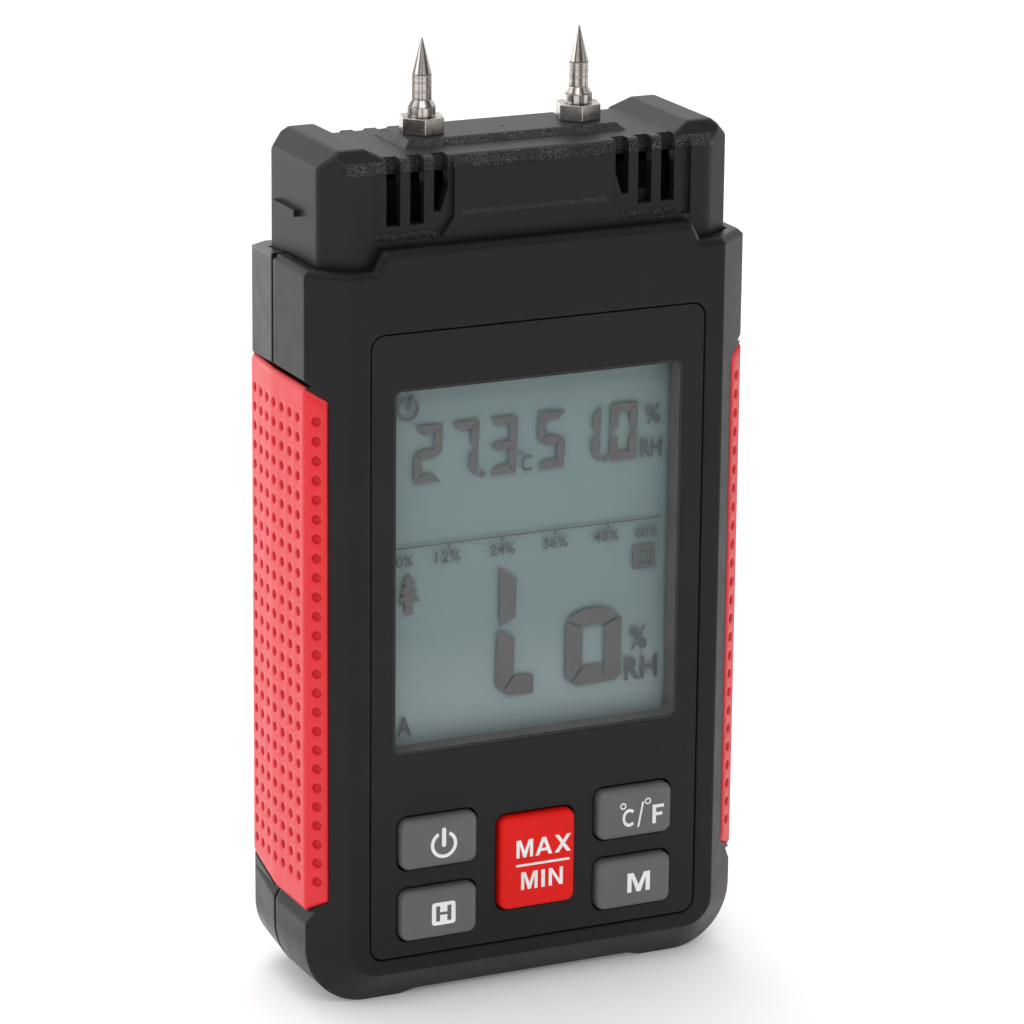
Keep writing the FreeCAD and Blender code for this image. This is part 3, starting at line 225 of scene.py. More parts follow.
def nickel_with_painted_light(name):
    """Polished nickel of the probes with painted light in its colour: painted reflection streaks, thin
    painted shade lines at its steps, darker hexagon faces painted for their dark reflection, and painted
    highlights on the edges.
    """
    made, tree, shader = new_material(name, 0.22, metallic=1.0)
    place = object_place(tree)
    tint = probe_painted_reflections(tree, place)
    # Thin dark lines at the steps of a probe: painted shade.
    for level in PAINTED_SHADE_STEPS_MM:
        line = within(tree, place["Z"], level - LINE_HALF_MM, level + LINE_HALF_MM)
        tint = mixed(tree, line, tint, (0.20, 0.176, 0.160, 1.0))
    grooves = between(tree, noise(tree, 0.20, 0.0, stretch=(0.02, 0.02, 1.0)), 0.0, 0.6, 0.40, 0.60)
    grooves = worked_out(tree, "MULTIPLY", grooves, within(tree, place["Z"], *SHANK_MM))
    tint = mixed(tree, grooves, tint, (0.25, 0.222, 0.204, 1.0))
    round_normal = node(tree, "Bevel", {"Radius": 0.16 * MM}, samples=6).outputs["Normal"]
    flat_normal = node(tree, "NewGeometry").outputs["True Normal"]
    normals = {0: round_normal, 1: flat_normal}
    facing = node(tree, "VectorMath", normals, operation="DOT_PRODUCT").outputs["Value"]
    # Edges, where the rounded normal leaves the true one, are lightened: painted highlight.
    edge = between(tree, facing, 1.0, 0.0, 0.90, 0.985)
    tree.links.new(mixed(tree, edge, tint, (0.95, 0.92, 0.89, 1.0)), shader.inputs["Base Color"])
    gloss = between(tree, noise(tree, 0.8, 3.0), 0.18, 0.30)
    tree.links.new(gloss, shader.inputs["Roughness"])
    marks = noise(tree, 0.22, 1.0, stretch=(0.02, 0.02, 1.0))
    rings = node(tree, "Bump", {"Height": marks, "Distance": 0.004 * MM, "Normal": round_normal})
    tree.links.new(rings.outputs["Normal"], shader.inputs["Normal"])
    return made


def dimpled_rubber(name):
    """Red rubber of the grips, duller at the bottom of the dimples and darkened there with painted shade."""
    made, tree, shader = new_material(name, 0.36, specular=0.45)
    slow = shades(tree, noise(tree, 14.0, 3.0), (0.70, 0.012, 0.020), (0.74, 0.013, 0.021))
    hollow = node(tree, "Attribute", attribute_name="hollow").outputs["Fac"]
    # The bottoms of the dimples get a darker colour: painted shade.
    tree.links.new(mixed(tree, hollow, slow, (0.60, 0.010, 0.017, 1.0)), shader.inputs["Base Color"])
    duller = worked_out(tree, "MULTIPLY", hollow, 0.3)
    gloss = between(tree, noise(tree, 3.0, 4.0), 0.32, 0.40)
    tree.links.new(worked_out(tree, "ADD", duller, gloss), shader.inputs["Roughness"])
    bump(tree, shader, noise(tree, 0.25), 0.006)
    return made


def rough_bands(tree):
    """1 inside the head's rough bands, a little uneven, and 0 outside them."""
    place = object_place(tree)
    sideways = worked_out(tree, "ABSOLUTE", place["X"])
    bands = 0.0
    for low, high, inner, outer in GRAIN_BANDS_MM:
        level = within(tree, place["Z"], low, high)
        reach = within(tree, sideways, inner, outer)
        bands = worked_out(tree, "MAXIMUM", bands, worked_out(tree, "MULTIPLY", level, reach))
    uneven = between(tree, noise(tree, 5.0, 2.0), 0.55, 1.0, 0.42, 0.55)
    return worked_out(tree, "MULTIPLY", bands, uneven)


def grained_plastic(name):
    """Black plastic of the head: soft moulded grain, with rough bands on some of its bevels, whose sparkle is
    painted glints of a lighter colour.
    """
    made, tree, shader = new_material(name, 0.42, specular=0.23)
    plain = shades(tree, noise(tree, 14.0, 3.0), (0.0100, 0.0100, 0.0102), (0.0125, 0.0125, 0.0127))
    bands = rough_bands(tree)
    # Light specks in the rough bands: painted glints.
    painted_glints = between(tree, noise(tree, 0.17, 1.0), 0.0, 1.0, 0.55, 0.63)
    painted_glints = worked_out(tree, "MULTIPLY", painted_glints, bands)
    tree.links.new(mixed(tree, painted_glints, plain, (0.105, 0.105, 0.107, 1.0)), shader.inputs["Base Color"])
    rough = worked_out(tree, "MULTIPLY", noise(tree, 0.19, 0.0), bands)
    fine = worked_out(tree, "MULTIPLY", noise(tree, 0.30), 0.12)
    tree.links.new(between(tree, bands, 0.42, 0.30, 0.0, 1.0), shader.inputs["Roughness"])
    bump(tree, shader, worked_out(tree, "ADD", rough, fine), 0.14, 0.15)
    return made


def lining_plastic(name):
    """Frame that lines the display opening: a dark front edge and lighter, brownish inner walls."""
    made, tree, shader = new_material(name, 0.40, specular=0.3)
    start, end = (depth * MM for depth in FRAME_FADE_MM)
    inside = between(tree, object_place(tree)["Y"], 0.0, 1.0, start, end)
    cloud = shades(tree, noise(tree, 6.0, 3.0), (0.115, 0.110, 0.107), (0.145, 0.139, 0.135))
    tree.links.new(mixed(tree, inside, (0.016, 0.016, 0.016, 1.0), cloud), shader.inputs["Base Color"])
    bump(tree, shader, noise(tree, 0.25), 0.003, 0.06)
    return made


def display_sheet(name):
    """Reflecting sheet behind the display's segments: a pale blue-green, with painted light that makes it
    lighter at its lower edge.
    """
    made, tree, shader = new_material(name, 0.60)
    start, end = (level * MM for level in SHEET_PAINTED_LIGHT_MM)
    # Painted light: the colour gets lighter towards the sheet's lower edge.
    lower = between(tree, object_place(tree)["Z"], 1.0, 0.0, start, end)
    cloud = shades(tree, noise(tree, 14.0, 3.0), (0.257, 0.348, 0.351), (0.267, 0.362, 0.365))
    tree.links.new(mixed(tree, lower, cloud, (0.40, 0.485, 0.495, 1.0)), shader.inputs["Base Color"])
    bump(tree, shader, noise(tree, 0.2), 0.001)
    return made


def clear_window(name):
    """Clear acrylic: nearly all see-through, with a faint uneven gloss."""
    made, tree, shader = new_material(name, 0.03)
    shader.inputs["Base Color"].default_value = (0.02, 0.02, 0.02, 1.0)
    shader.inputs["Alpha"].default_value = 0.09
    gloss = between(tree, noise(tree, 5.0, 3.0), 0.02, 0.06)
    tree.links.new(gloss, shader.inputs["Roughness"])
    return made


def board_laminate(name):
    """Circuit board: a dark green, nearly black mask over faint tracks."""
    made, tree, shader = new_material(name, 0.50, specular=0.08)
    tracks = node(tree, "TexBrick", {
        "Vector": node(tree, "TexCoord").outputs["Object"],
        "Scale": 1 / (4 * MM),
        "Mortar Size": 0.03,
        "Color1": (0.0010, 0.0014, 0.0012, 1),
        "Color2": (0.0014, 0.0020, 0.0017, 1),
        "Mortar": (0.0020, 0.0032, 0.0026, 1),
    })
    tree.links.new(tracks.outputs["Color"], shader.inputs["Base Color"])
    bump(tree, shader, noise(tree, 0.6), 0.01)
    return made


def make_materials():
    """One material for each slot of the record, and those of the marks."""
    return {
        "shell_plastic": moulded("shell_plastic", (0.0092, 0.0092, 0.0094), 0.33, 0.30, 0.006, 0.80, 0.20),
        "head_plastic": grained_plastic("head_plastic"),
        "grip_rubber": dimpled_rubber("grip_rubber"),
        "panel_gloss": moulded("panel_gloss", (0.0100, 0.0100, 0.0102), 0.25, 0.25, 0.002, 0.10, 0.20),
        "frame_plastic": lining_plastic("frame_plastic"),
        "window_acrylic": clear_window("window_acrylic"),
        "display_surface": display_sheet("display_surface"),
        "backlight_plastic": moulded("backlight_plastic", (0.70, 0.72, 0.72), 0.5),
        "strip_rubber": moulded("strip_rubber", (0.10, 0.10, 0.10), 0.6),
        "mat_rubber": moulded("mat_rubber", (0.12, 0.12, 0.125), 0.6),
        "board_laminate": board_laminate("board_laminate"),
        "chip_plastic": moulded("chip_plastic", (0.012, 0.012, 0.012), 0.55),
        "screw_steel": turned_metal("screw_steel", (0.50, 0.50, 0.51), 0.35),
        "battery_sleeve": moulded("battery_sleeve", (0.05, 0.055, 0.065), 0.3, depth_mm=0.003),
        "contact_nickel": turned_metal("contact_nickel", (0.62, 0.60, 0.57), 0.3),
        "electrode_nickel": nickel_with_painted_light("electrode_nickel"),
        "strap_brass": turned_metal("strap_brass", (0.72, 0.52, 0.25), 0.3),
        "key_grey": moulded("key_grey", (0.108, 0.108, 0.111), 0.42, 0.25, 0.006, 0.80, cloud=0.04),
        "key_red": moulded("key_red", (0.78, 0.005, 0.003), 0.46, 0.25, 0.006, 0.80, 0.22, cloud=0.04),
        "mark_ink": moulded("mark_ink", (0.88, 0.88, 0.87), 0.5, 0.2, 0.003),
        "segment_ink": moulded("segment_ink", (0.165, 0.165, 0.172), 0.6, 0.2, 0.002, cloud=0.03),
        "legend_ink": moulded("legend_ink", (0.135, 0.150, 0.158), 0.6, 0.2, 0.002, cloud=0.03),
    }


# ---------------------------------------------------------------- mesh helpers

def mesh_piece(name, points, faces, slot, body, smooth=False):
    """A mesh of points in millimetres, riding on a body and painted with a slot's material."""
    mesh = bpy.data.meshes.new(name)
    mesh.from_pydata([Vector(point) * MM for point in points], [], faces)
    mesh.validate()
    piece = bpy.data.objects.new(name, mesh)
    bpy.context.scene.collection.objects.link(piece)
    return finish_piece(piece, slot, body, smooth)


def finish_piece(piece, slot, body, smooth=False):
    """Clean normals, material, slot and body of a piece."""
    made = bmesh.new()
    made.from_mesh(piece.data)
    bmesh.ops.remove_doubles(made, verts=made.verts, dist=0.002 * MM)
    bmesh.ops.recalc_face_normals(made, faces=made.faces)
    made.to_mesh(piece.data)
    made.free()
    for face in piece.data.polygons:
        face.use_smooth = smooth
    piece.data.materials.clear()
    piece.data.materials.append(MATERIALS[slot])
    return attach(piece, body)


def prism(outline, low, high):
    """Points and faces of a flat outline in X and Z, made thick between two Y levels."""
    count = len(outline)
    points = [(x, low, z) for x, z in outline] + [(x, high, z) for x, z in outline]
    faces = [tuple(range(count)), tuple(reversed(range(count, 2 * count)))]
    for i in range(count):
        j = (i + 1) % count
        faces.append((i, i + count, j + count, j))
    return points, faces


def joined(shapes):
    """Several sets of points and faces as one."""
    points = []
    faces = []
    for more_points, more_faces in shapes:
        start = len(points)
        points += more_points
        faces += [tuple(i + start for i in face) for face in more_faces]
    return points, faces


def arc(centre, radius, start, end, steps):
    """Points along an arc, with angles in degrees."""
    found = []
    for step in range(steps + 1):
        angle = math.radians(start + (end - start) * step / steps)
        found.append((centre[0] + radius * math.cos(angle), centre[1] + radius * math.sin(angle)))
    return found


def rounded_box(centre, half_x, half_z, radius, steps=6):
    """Outline of a rectangle with rounded corners."""
    outline = []
    for side_x, side_z, start in ((1, 1, 0), (-1, 1, 90), (-1, -1, 180), (1, -1, 270)):
        corner = (centre[0] + side_x * (half_x - radius), centre[1] + side_z * (half_z - radius))
        outline += arc(corner, radius, start, start + 90, steps)
    return outline


def ring(centre, radius, width, low, high, start=0.0, end=360.0, steps=48):
    """A flat ring or open arc, made thick between two Y levels."""
    outer = arc(centre, radius + width / 2, start, end, steps)
    inner = arc(centre, radius - width / 2, start, end, steps)
    if end - start == 360:
        return pierced(outer[:-1], inner[:-1], low, high)
    return prism(outer + inner[::-1], low, high)


# Width of the bars of the letter F, for a height of 1.
BAR = 0.20
# Plain capitals as polygons, for a height of 1. The first number is the width.
CAPITALS = {
    "M": (0.98, [[(0, 0), (0, 1), (0.26, 1), (0.49, 0.36), (0.72, 1), (0.98, 1), (0.98, 0), (0.80, 0),
                  (0.80, 0.76), (0.575, 0), (0.405, 0), (0.18, 0.76), (0.18, 0)]]),
    "A": (1.0, [[(0, 0), (0.22, 0), (0.30, 0.22), (0.50, 0.22), (0.50, 0.38), (0.36, 0.38), (0.50, 0.78),
                 (0.50, 1), (0.39, 1)],
                [(1, 0), (0.78, 0), (0.70, 0.22), (0.50, 0.22), (0.50, 0.38), (0.64, 0.38), (0.50, 0.78),
                 (0.50, 1), (0.61, 1)]]),
    "X": (0.96, [[(0, 0), (0.24, 0), (0.48, 0.335), (0.72, 0), (0.96, 0), (0.60, 0.5), (0.96, 1), (0.72, 1),
                  (0.48, 0.665), (0.24, 1), (0, 1), (0.36, 0.5)]]),
    "I": (0.22, [[(0, 0), (0.21, 0), (0.21, 1), (0, 1)]]),
    "N": (0.84, [[(0, 0), (0, 1), (0.20, 1), (0.65, 0.29), (0.65, 1), (0.84, 1), (0.84, 0), (0.64, 0),
                  (0.19, 0.71), (0.19, 0)]]),
    "F": (0.64, [[(0, 0), (BAR, 0), (BAR, 1), (0, 1)], [(BAR, 0.83), (0.64, 0.83), (0.64, 1), (BAR, 1)],
                 [(BAR, 0.41), (0.56, 0.41), (0.56, 0.58), (BAR, 0.58)]]),
}


def letters(text, start, height, gap, stretch=1.0):
    """Outlines of a word in plain capitals, from its lower left corner."""
    outlines = []
    left = start[0]
    for letter in text:
        width, shapes = CAPITALS[letter]
        for shape in shapes:
            outlines.append([(left + x * height * stretch, start[1] + z * height) for x, z in shape])
        left += width * height * stretch + gap
    return outlines


def lettering(name, text, centre, width, height, level, thick, slot, body, weight=0.0):
    """A word in plain sans capitals, fitted to a width and height and raised from a level towards -Y."""
    curve = bpy.data.curves.new(name, "FONT")
    curve.body = text
    curve.align_x = "CENTER"
    curve.extrude = 0.5
    curve.offset = weight
    curve.resolution_u = 4
    holder = bpy.data.objects.new(name + "_text", curve)
    bpy.context.scene.collection.objects.link(holder)
    bpy.context.view_layer.update()
    mesh = bpy.data.meshes.new_from_object(holder)
    bpy.data.objects.remove(holder)
    xs = [vertex.co.x for vertex in mesh.vertices]
    ys = [vertex.co.y for vertex in mesh.vertices]
    scale_x = width / (max(xs) - min(xs))
    scale_y = height / (max(ys) - min(ys))
    middle_x = (max(xs) + min(xs)) / 2
    middle_y = (max(ys) + min(ys)) / 2
    for vertex in mesh.vertices:
        across = centre[0] + (vertex.co.x - middle_x) * scale_x
        up = centre[1] + (vertex.co.y - middle_y) * scale_y
        vertex.co = Vector((across, level - thick * (vertex.co.z + 0.5), up)) * MM
    piece = bpy.data.objects.new(name, mesh)
    bpy.context.scene.collection.objects.link(piece)
    return finish_piece(piece, slot, body)


# ---------------------------------------------------------------- side grips

# Spacing of the dimples upwards and along the section.
GRIP_PITCH_Z = 2.91
GRIP_PITCH_Y = 3.0
DIMPLE_RADIUS = 0.78
DIMPLE_DEPTH = 0.55
DIMPLE_ROWS = 25
DIMPLE_COLUMNS = 7
# Points round a dimple, and on each side of its tile.
RIM_POINTS = 16
TILE_SIDE = RIM_POINTS // 4
# A grip's section: X of its front and rear edge, Y of its front fold and of the housing's seam, and its
# rear fold, as the distance in from its outer face and Y.
GRIP_FRONT_X = 32.45
GRIP_REAR_X = 32.75
FRONT_FOLD_Y = -9.8
SEAM_Y = 1.9
REAR_FOLD = (0.94, 12.15)
FOLD_RADIUS = 0.9
# How far the front strip's dimples lie from its middle, and how much narrower their tiles are at each side.
STRIP_SHIFT = 0.1
STRIP_MARGIN = 0.2
# Plain stretch behind the front fold.
FOLD_MARGIN = 0.65
# How far a grip's ends lean in at its front edge.
FRONT_LEAN = 1.8
# How far its lower end leans in at its rear edge, and how far behind the front fold that starts.
REAR_LEAN = 1.9
REAR_LEAN_START = 12.0
# Radius of the rounding along a grip's front and rear edge.
EDGE_ROUND = 0.7
# Bevel at the upper and lower end of a grip: its height and its depth.
END_BEVEL = 0.9
END_BEVEL_DEPTH = 0.40
# Narrow rows of faces that keep the bevels and the front edge crisp.
BEVEL_LINE = 0.05
EDGE_LINE = 0.25
# Columns of faces behind the last dimples, as shares of that stretch.
REAR_SHARES = (0, 0.2, 0.4, 0.6, 0.8, 0.93, 1)
# Depth at which a dimple counts as hollow, and the depth from there to fully hollow.
HOLLOW_START = 0.25
HOLLOW_REACH = 0.2
# How far the back of a grip's skin lies behind its rim.
SKIRT = 0.35


def cad_box_mm(name):
    """A node's lowest and highest corner, in millimetres."""
    low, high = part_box(name)
    return low / MM, high / MM


def grip_profile():
    """Section of a grip in X and Y, from its front edge round to its rear edge, for the right side."""
    low, high = cad_box_mm("right_grip")
    return [
        (GRIP_FRONT_X, low.y),
        (high.x, FRONT_FOLD_Y),
        (high.x, SEAM_Y),
        (high.x - REAR_FOLD[0], REAR_FOLD[1]),
        (GRIP_REAR_X, high.y),
    ]


class Profile:
    """A chain of straight runs with rounded folds, walked by its arc length."""

    def __init__(self, corners, radius):
        points = [corners[0]]
        for before, corner, after in zip(corners, corners[1:], corners[2:]):
            points += self.fold(Vector(before), Vector(corner), Vector(after), radius)
        points.append(corners[-1])
        self.points = [Vector(point) for point in points]
        self.lengths = [0.0]
        for a, b in zip(self.points, self.points[1:]):
            self.lengths.append(self.lengths[-1] + (b - a).length)

    @staticmethod
    def fold(before, corner, after, radius, steps=6):
        """Points of the arc that rounds one corner."""
        to_before = (before - corner).normalized()
        to_after = (after - corner).normalized()
        half = to_before.angle(to_after) / 2
        if half > math.radians(89.5):
            return [corner]
        reach = radius / math.tan(half)
        centre = corner + (to_before + to_after).normalized() * (radius / math.sin(half))
        start = corner + to_before * reach - centre
        end = corner + to_after * reach - centre
        first = start.normalized()
        last = end.normalized()
        return [centre + first.slerp(last, step / steps) * radius for step in range(steps + 1)]

    @property
    def length(self):
        """Length of the whole chain."""
        return self.lengths[-1]

    def at(self, distance):
        """Place and outward normal at a distance along the chain."""
        distance = min(max(distance, 0.0), self.length)
        for i in range(len(self.points) - 1):
            if distance <= self.lengths[i + 1] or i == len(self.points) - 2:
                break
        a = self.points[i]
        b = self.points[i + 1]
        along = (b - a).normalized()
        place = a + along * (distance - self.lengths[i])
        return place, Vector((along.y, -along.x))


def dimple_cell(s, z, half_s, half_z):
    """A square tile with a round dimple: points as (s, z, depth), and faces."""
    points = []
    corners = [(half_s, -half_z), (half_s, half_z), (-half_s, half_z), (-half_s, -half_z)]
    for i in range(4):
        start = corners[i]
        end = corners[(i + 1) % 4]
        for step in range(TILE_SIDE):
            share = step / TILE_SIDE
            points.append((s + start[0] + (end[0] - start[0]) * share,
                           z + start[1] + (end[1] - start[1]) * share, 0.0))
    levels = [(1.08, 0.0), (0.99, 0.04), (0.92, 0.25), (0.84, 0.82), (0.70, 1.0), (0.35, 1.0)]
    for share, depth in levels:
        for i in range(RIM_POINTS):
            angle = math.radians(-45 + 360 * i / RIM_POINTS)
            points.append((s + DIMPLE_RADIUS * share * math.cos(angle),
                           z + DIMPLE_RADIUS * share * math.sin(angle), DIMPLE_DEPTH * depth))
    points.append((s, z, DIMPLE_DEPTH))
    faces = []
    for level in range(len(levels)):
        for i in range(RIM_POINTS):
            j = (i + 1) % RIM_POINTS
            a = level * RIM_POINTS
            b = a + RIM_POINTS
            faces.append((a + i, a + j, b + j, b + i))
    last = len(levels) * RIM_POINTS
    for i in range(RIM_POINTS):
        faces.append((last + i, last + (i + 1) % RIM_POINTS, last + RIM_POINTS))
    return points, faces


def evenly(start, end, count):
    """Marks that divide a stretch into equal parts, with both of its ends."""
    return [start + (end - start) * step / count for step in range(count + 1)]


def tile_bands(strip):
    """Start and end of each column of tiles: one on the front strip, the others behind the fold."""
    half = GRIP_PITCH_Y / 2
    centre = strip / 2 - STRIP_SHIFT
    bands = [(centre - half + STRIP_MARGIN, centre + half - STRIP_MARGIN)]
    for column in range(DIMPLE_COLUMNS):
        centre = strip + FOLD_MARGIN + half + GRIP_PITCH_Y * column
        bands.append((centre - half, centre + half))
    return bands


def plain_sheet(marks_s, marks_z):
    """A flat sheet of faces between marks along the section and marks upwards."""
    points = [(s, z, 0.0) for s in marks_s for z in marks_z]
    count = len(marks_z)
    faces = []
    for i in range(len(marks_s) - 1):
        for k in range(count - 1):
            here = i * count + k
            faces.append((here, here + count, here + count + 1, here + 1))
    return points, faces


def flat_skin(bands, length, levels):
    """A grip's skin laid flat: tiles with dimples, and plain sheets between and beyond them."""
    low_z, bottom, top, high_z = levels
    half_z = GRIP_PITCH_Z / 2
    shapes = []
    for start, end in bands:
        for row in range(DIMPLE_ROWS):
            level = bottom + half_z + row * GRIP_PITCH_Z
            shapes.append(dimple_cell((start + end) / 2, level, (end - start) / 2, half_z))
    rows = evenly(bottom, top, DIMPLE_ROWS * TILE_SIDE)
    last = bands[-1][1]
    front_marks = [0.0, EDGE_LINE, bands[0][0]]
    fold_marks = evenly(bands[0][1], bands[1][0], 5)
    rear_marks = [last + (length - last) * share for share in REAR_SHARES]
    for marks in (front_marks, fold_marks, rear_marks):
        shapes.append(plain_sheet(marks, rows))
    across = front_marks + fold_marks + rear_marks
    for start, end in bands:
        across += evenly(start, end, TILE_SIDE)
    across = sorted({round(s, 5) for s in across})
    upper = high_z - END_BEVEL
    lower = low_z + END_BEVEL
    shapes.append(plain_sheet(across, [top, (top + upper) / 2, upper - BEVEL_LINE, upper, high_z]))
    shapes.append(plain_sheet(across, [low_z, lower, lower + BEVEL_LINE, (lower + bottom) / 2, bottom]))
    return joined(shapes)


def edge_drop(edge_gap, end_gap):
    """How far the skin sinks near its long edges, which are rounded, and its ends, which are bevelled."""
    drop = 0.0
    if edge_gap < EDGE_ROUND:
        drop = EDGE_ROUND - math.sqrt(max(0.0, EDGE_ROUND ** 2 - (EDGE_ROUND - edge_gap) ** 2))
    if end_gap < END_BEVEL:
        drop = max(drop, END_BEVEL_DEPTH * (1 - max(end_gap, 0.0) / END_BEVEL))
    return drop


def wrapped_skin(points, profile, strip, levels, side):
    """Bend the flat skin round the section, with ends that lean in at its front and rear edges."""
    low_z, bottom, top, high_z = levels
    rear_start = strip + REAR_LEAN_START
    placed = []
    for s, z, depth in points:
        front = max(0.0, 1 - s / strip) * FRONT_LEAN
        rear = max(0.0, (s - rear_start) / (profile.length - rear_start)) * REAR_LEAN
        if z > top:
            z -= (z - top) / (high_z - top) * front
        elif z < bottom:
            z += (bottom - z) / (bottom - low_z) * (front + rear)
        end_gap = min(high_z - front - z, z - (low_z + front + rear))
        place, normal = profile.at(s)
        spot = place - normal * (depth + edge_drop(min(s, profile.length - s), end_gap))
        placed.append((side * spot.x, spot.y, z))
    return placed


def make_grip(side):
    """Soft side grip: a dimpled skin that folds round the housing, closed at its back."""
    name = "right_grip" if side > 0 else "left_grip"
    low, high = cad_box_mm(name)
    corners = grip_profile()
    profile = Profile(corners, FOLD_RADIUS)
    strip = math.dist(corners[0], corners[1])
    middle = (low.z + high.z) / 2
    half = GRIP_PITCH_Z * DIMPLE_ROWS / 2
    levels = (low.z, middle - half, middle + half, high.z)
    points, faces = flat_skin(tile_bands(strip), profile.length, levels)
    placed = wrapped_skin(points, profile, strip, levels, side)
    piece = mesh_piece(name + "_skin", placed, faces, "grip_rubber", HOUSING, smooth=True)
    close_back(piece, side)
    mark_hollows(piece, profile, side)
    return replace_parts(piece, name)


def mark_hollows(piece, profile, side):
    """Store on each point of a grip whether it lies at the bottom of a dimple, where the rubber gets a duller
    gloss and painted shade.
    """
    outer = piece.data.attributes.new("hollow", "FLOAT", "POINT")
    surface = [profile.at(profile.length * step / 400)[0] for step in range(401)]
    for vertex, value in zip(piece.data.vertices, outer.data):
        spot = Vector((side * vertex.co.x, vertex.co.y)) / MM
        depth = min((spot - place).length for place in surface)
        value.value = min(max((depth - HOLLOW_START) / HOLLOW_REACH, 0.0), 1.0)


def close_back(piece, side):
    """Give an open skin a skirt and a back, so that it is a closed solid."""
    made = bmesh.new()
    made.from_mesh(piece.data)
    rim = [edge for edge in made.edges if edge.is_boundary]
    grown = bmesh.ops.extrude_edge_only(made, edges=rim)
    fresh = [item for item in grown["geom"] if isinstance(item, bmesh.types.BMVert)]
    for vertex in fresh:
        vertex.co.x -= side * SKIRT * MM
    loop = [item for item in grown["geom"] if isinstance(item, bmesh.types.BMEdge)]
    bmesh.ops.holes_fill(made, edges=loop, sides=0)
    bmesh.ops.recalc_face_normals(made, faces=made.faces)
    made.to_mesh(piece.data)
    made.free()


# ---------------------------------------------------------------- key marks

KEYS = ("power_key", "hold_key", "max_min_key", "unit_key", "mode_key")
# Thickness of the print on the keys, and how far it goes into them.
MARK_THICK = 0.06
MARK_SUNK = 0.02
# Middle of the power sign, of the boxed H and of the letter C.
POWER_CENTRE = (-15.4, 24.95)
HOLD_CENTRE = (-15.38, 14.15)
UNIT_C_CENTRE = (15.0, 24.65)
# The H, from its middle: its uprights, their half width and half height, and half the crossbar's height.
H_UPRIGHT = 0.91
H_HALF_WIDE = 0.33
H_HALF_HIGH = 1.2
H_HALF_BAR = 0.22
# Words on the keys: piece, text, lower left corner, height, gap between letters, stretch and key.
KEY_WORDS = (
    ("max_mark", "MAX", (-3.60, 20.95), 2.75, 0.42, 1.0, "max_min_key"),
    ("min_mark", "MIN", (-2.80, 15.85), 2.75, 0.62, 1.0, "max_min_key"),
    ("mode_mark", "M", (14.85, 12.70), 3.05, 0.0, 1.26, "mode_key"),
    ("unit_mark_f", "F", (18.85, 23.20), 2.95, 0.0, 1.0, "unit_key"),
)


def make_key_cap(name):
    """A key whose front lies behind the CAD key's by the print's thickness, so that the print ends there."""
    low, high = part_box(name)
    cap = bpy.data.objects.new(name + "_cap", frame["nodes"][name].data.copy())
    share = 1 - MARK_THICK * MM / (high.y - low.y)
    for vertex in cap.data.vertices:
        vertex.co.y = high.y - (high.y - vertex.co.y) * share
    bpy.context.scene.collection.objects.link(cap)
    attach(cap, name)
    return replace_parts(cap, name)


def letter_h(centre):
    """Outline of the H that is cut out of the hold key's mark."""
    near = H_UPRIGHT - H_HALF_WIDE
    far = H_UPRIGHT + H_HALF_WIDE
    high = H_HALF_HIGH
    bar = H_HALF_BAR
    outline = [(-near, -high), (-far, -high), (-far, high), (-near, high), (-near, bar), (near, bar),
               (near, high), (far, high), (far, -high), (near, -high), (near, -bar), (-near, -bar)]
    return [(centre[0] + x, centre[1] + z) for x, z in outline]


def unit_marks(depths):
    """The letter C, and the two degree rings and the slash, of the temperature unit key."""
    middle = UNIT_C_CENTRE[0]
    points, faces = ring(UNIT_C_CENTRE, 1.16, 0.5, *depths, start=48, end=312)
    narrow = [(middle + (x - middle) * 0.8, y, z) for x, y, z in points]
    signs = [ring((13.95, 26.6), 0.42, 0.2, *depths, steps=20),
             ring((18.05, 26.9), 0.42, 0.2, *depths, steps=20),
             prism([(16.35, 23.0), (16.65, 23.0), (17.4, 26.9), (17.1, 26.9)], *depths)]
    return [("unit_mark_c", (narrow, faces), "unit_key"), ("unit_mark_signs", joined(signs), "unit_key")]


def make_key_marks():
    """Light function marks on the front faces of the keys."""
    front = cad_box_mm("power_key")[0].y
    depths = (front, front + MARK_THICK + MARK_SUNK)
    bar_centre = (POWER_CENTRE[0], POWER_CENTRE[1] + 1.1)
    power = [ring(POWER_CENTRE, 1.85, 0.52, *depths, start=118, end=422),
             prism(rounded_box(bar_centre, 0.33, 1.5, 0.3), *depths)]
    hold = pierced(rounded_box(HOLD_CENTRE, 1.9, 1.76, 0.45), letter_h(HOLD_CENTRE), *depths)
    line = prism(rounded_box((0.75, 19.72), 4.4, 0.17, 0.1), *depths)
    marks = [("power_mark", joined(power), "power_key"),
             ("hold_mark", hold, "hold_key"),
             ("max_min_line", line, "max_min_key")]
    for name, text, start, height, gap, stretch, body in KEY_WORDS:
        shapes = [prism(outline, *depths) for outline in letters(text, start, height, gap, stretch)]
        marks.append((name, joined(shapes), body))
    for name, shape, body in marks + unit_marks(depths):
        mesh_piece(name, *shape, "mark_ink", body)


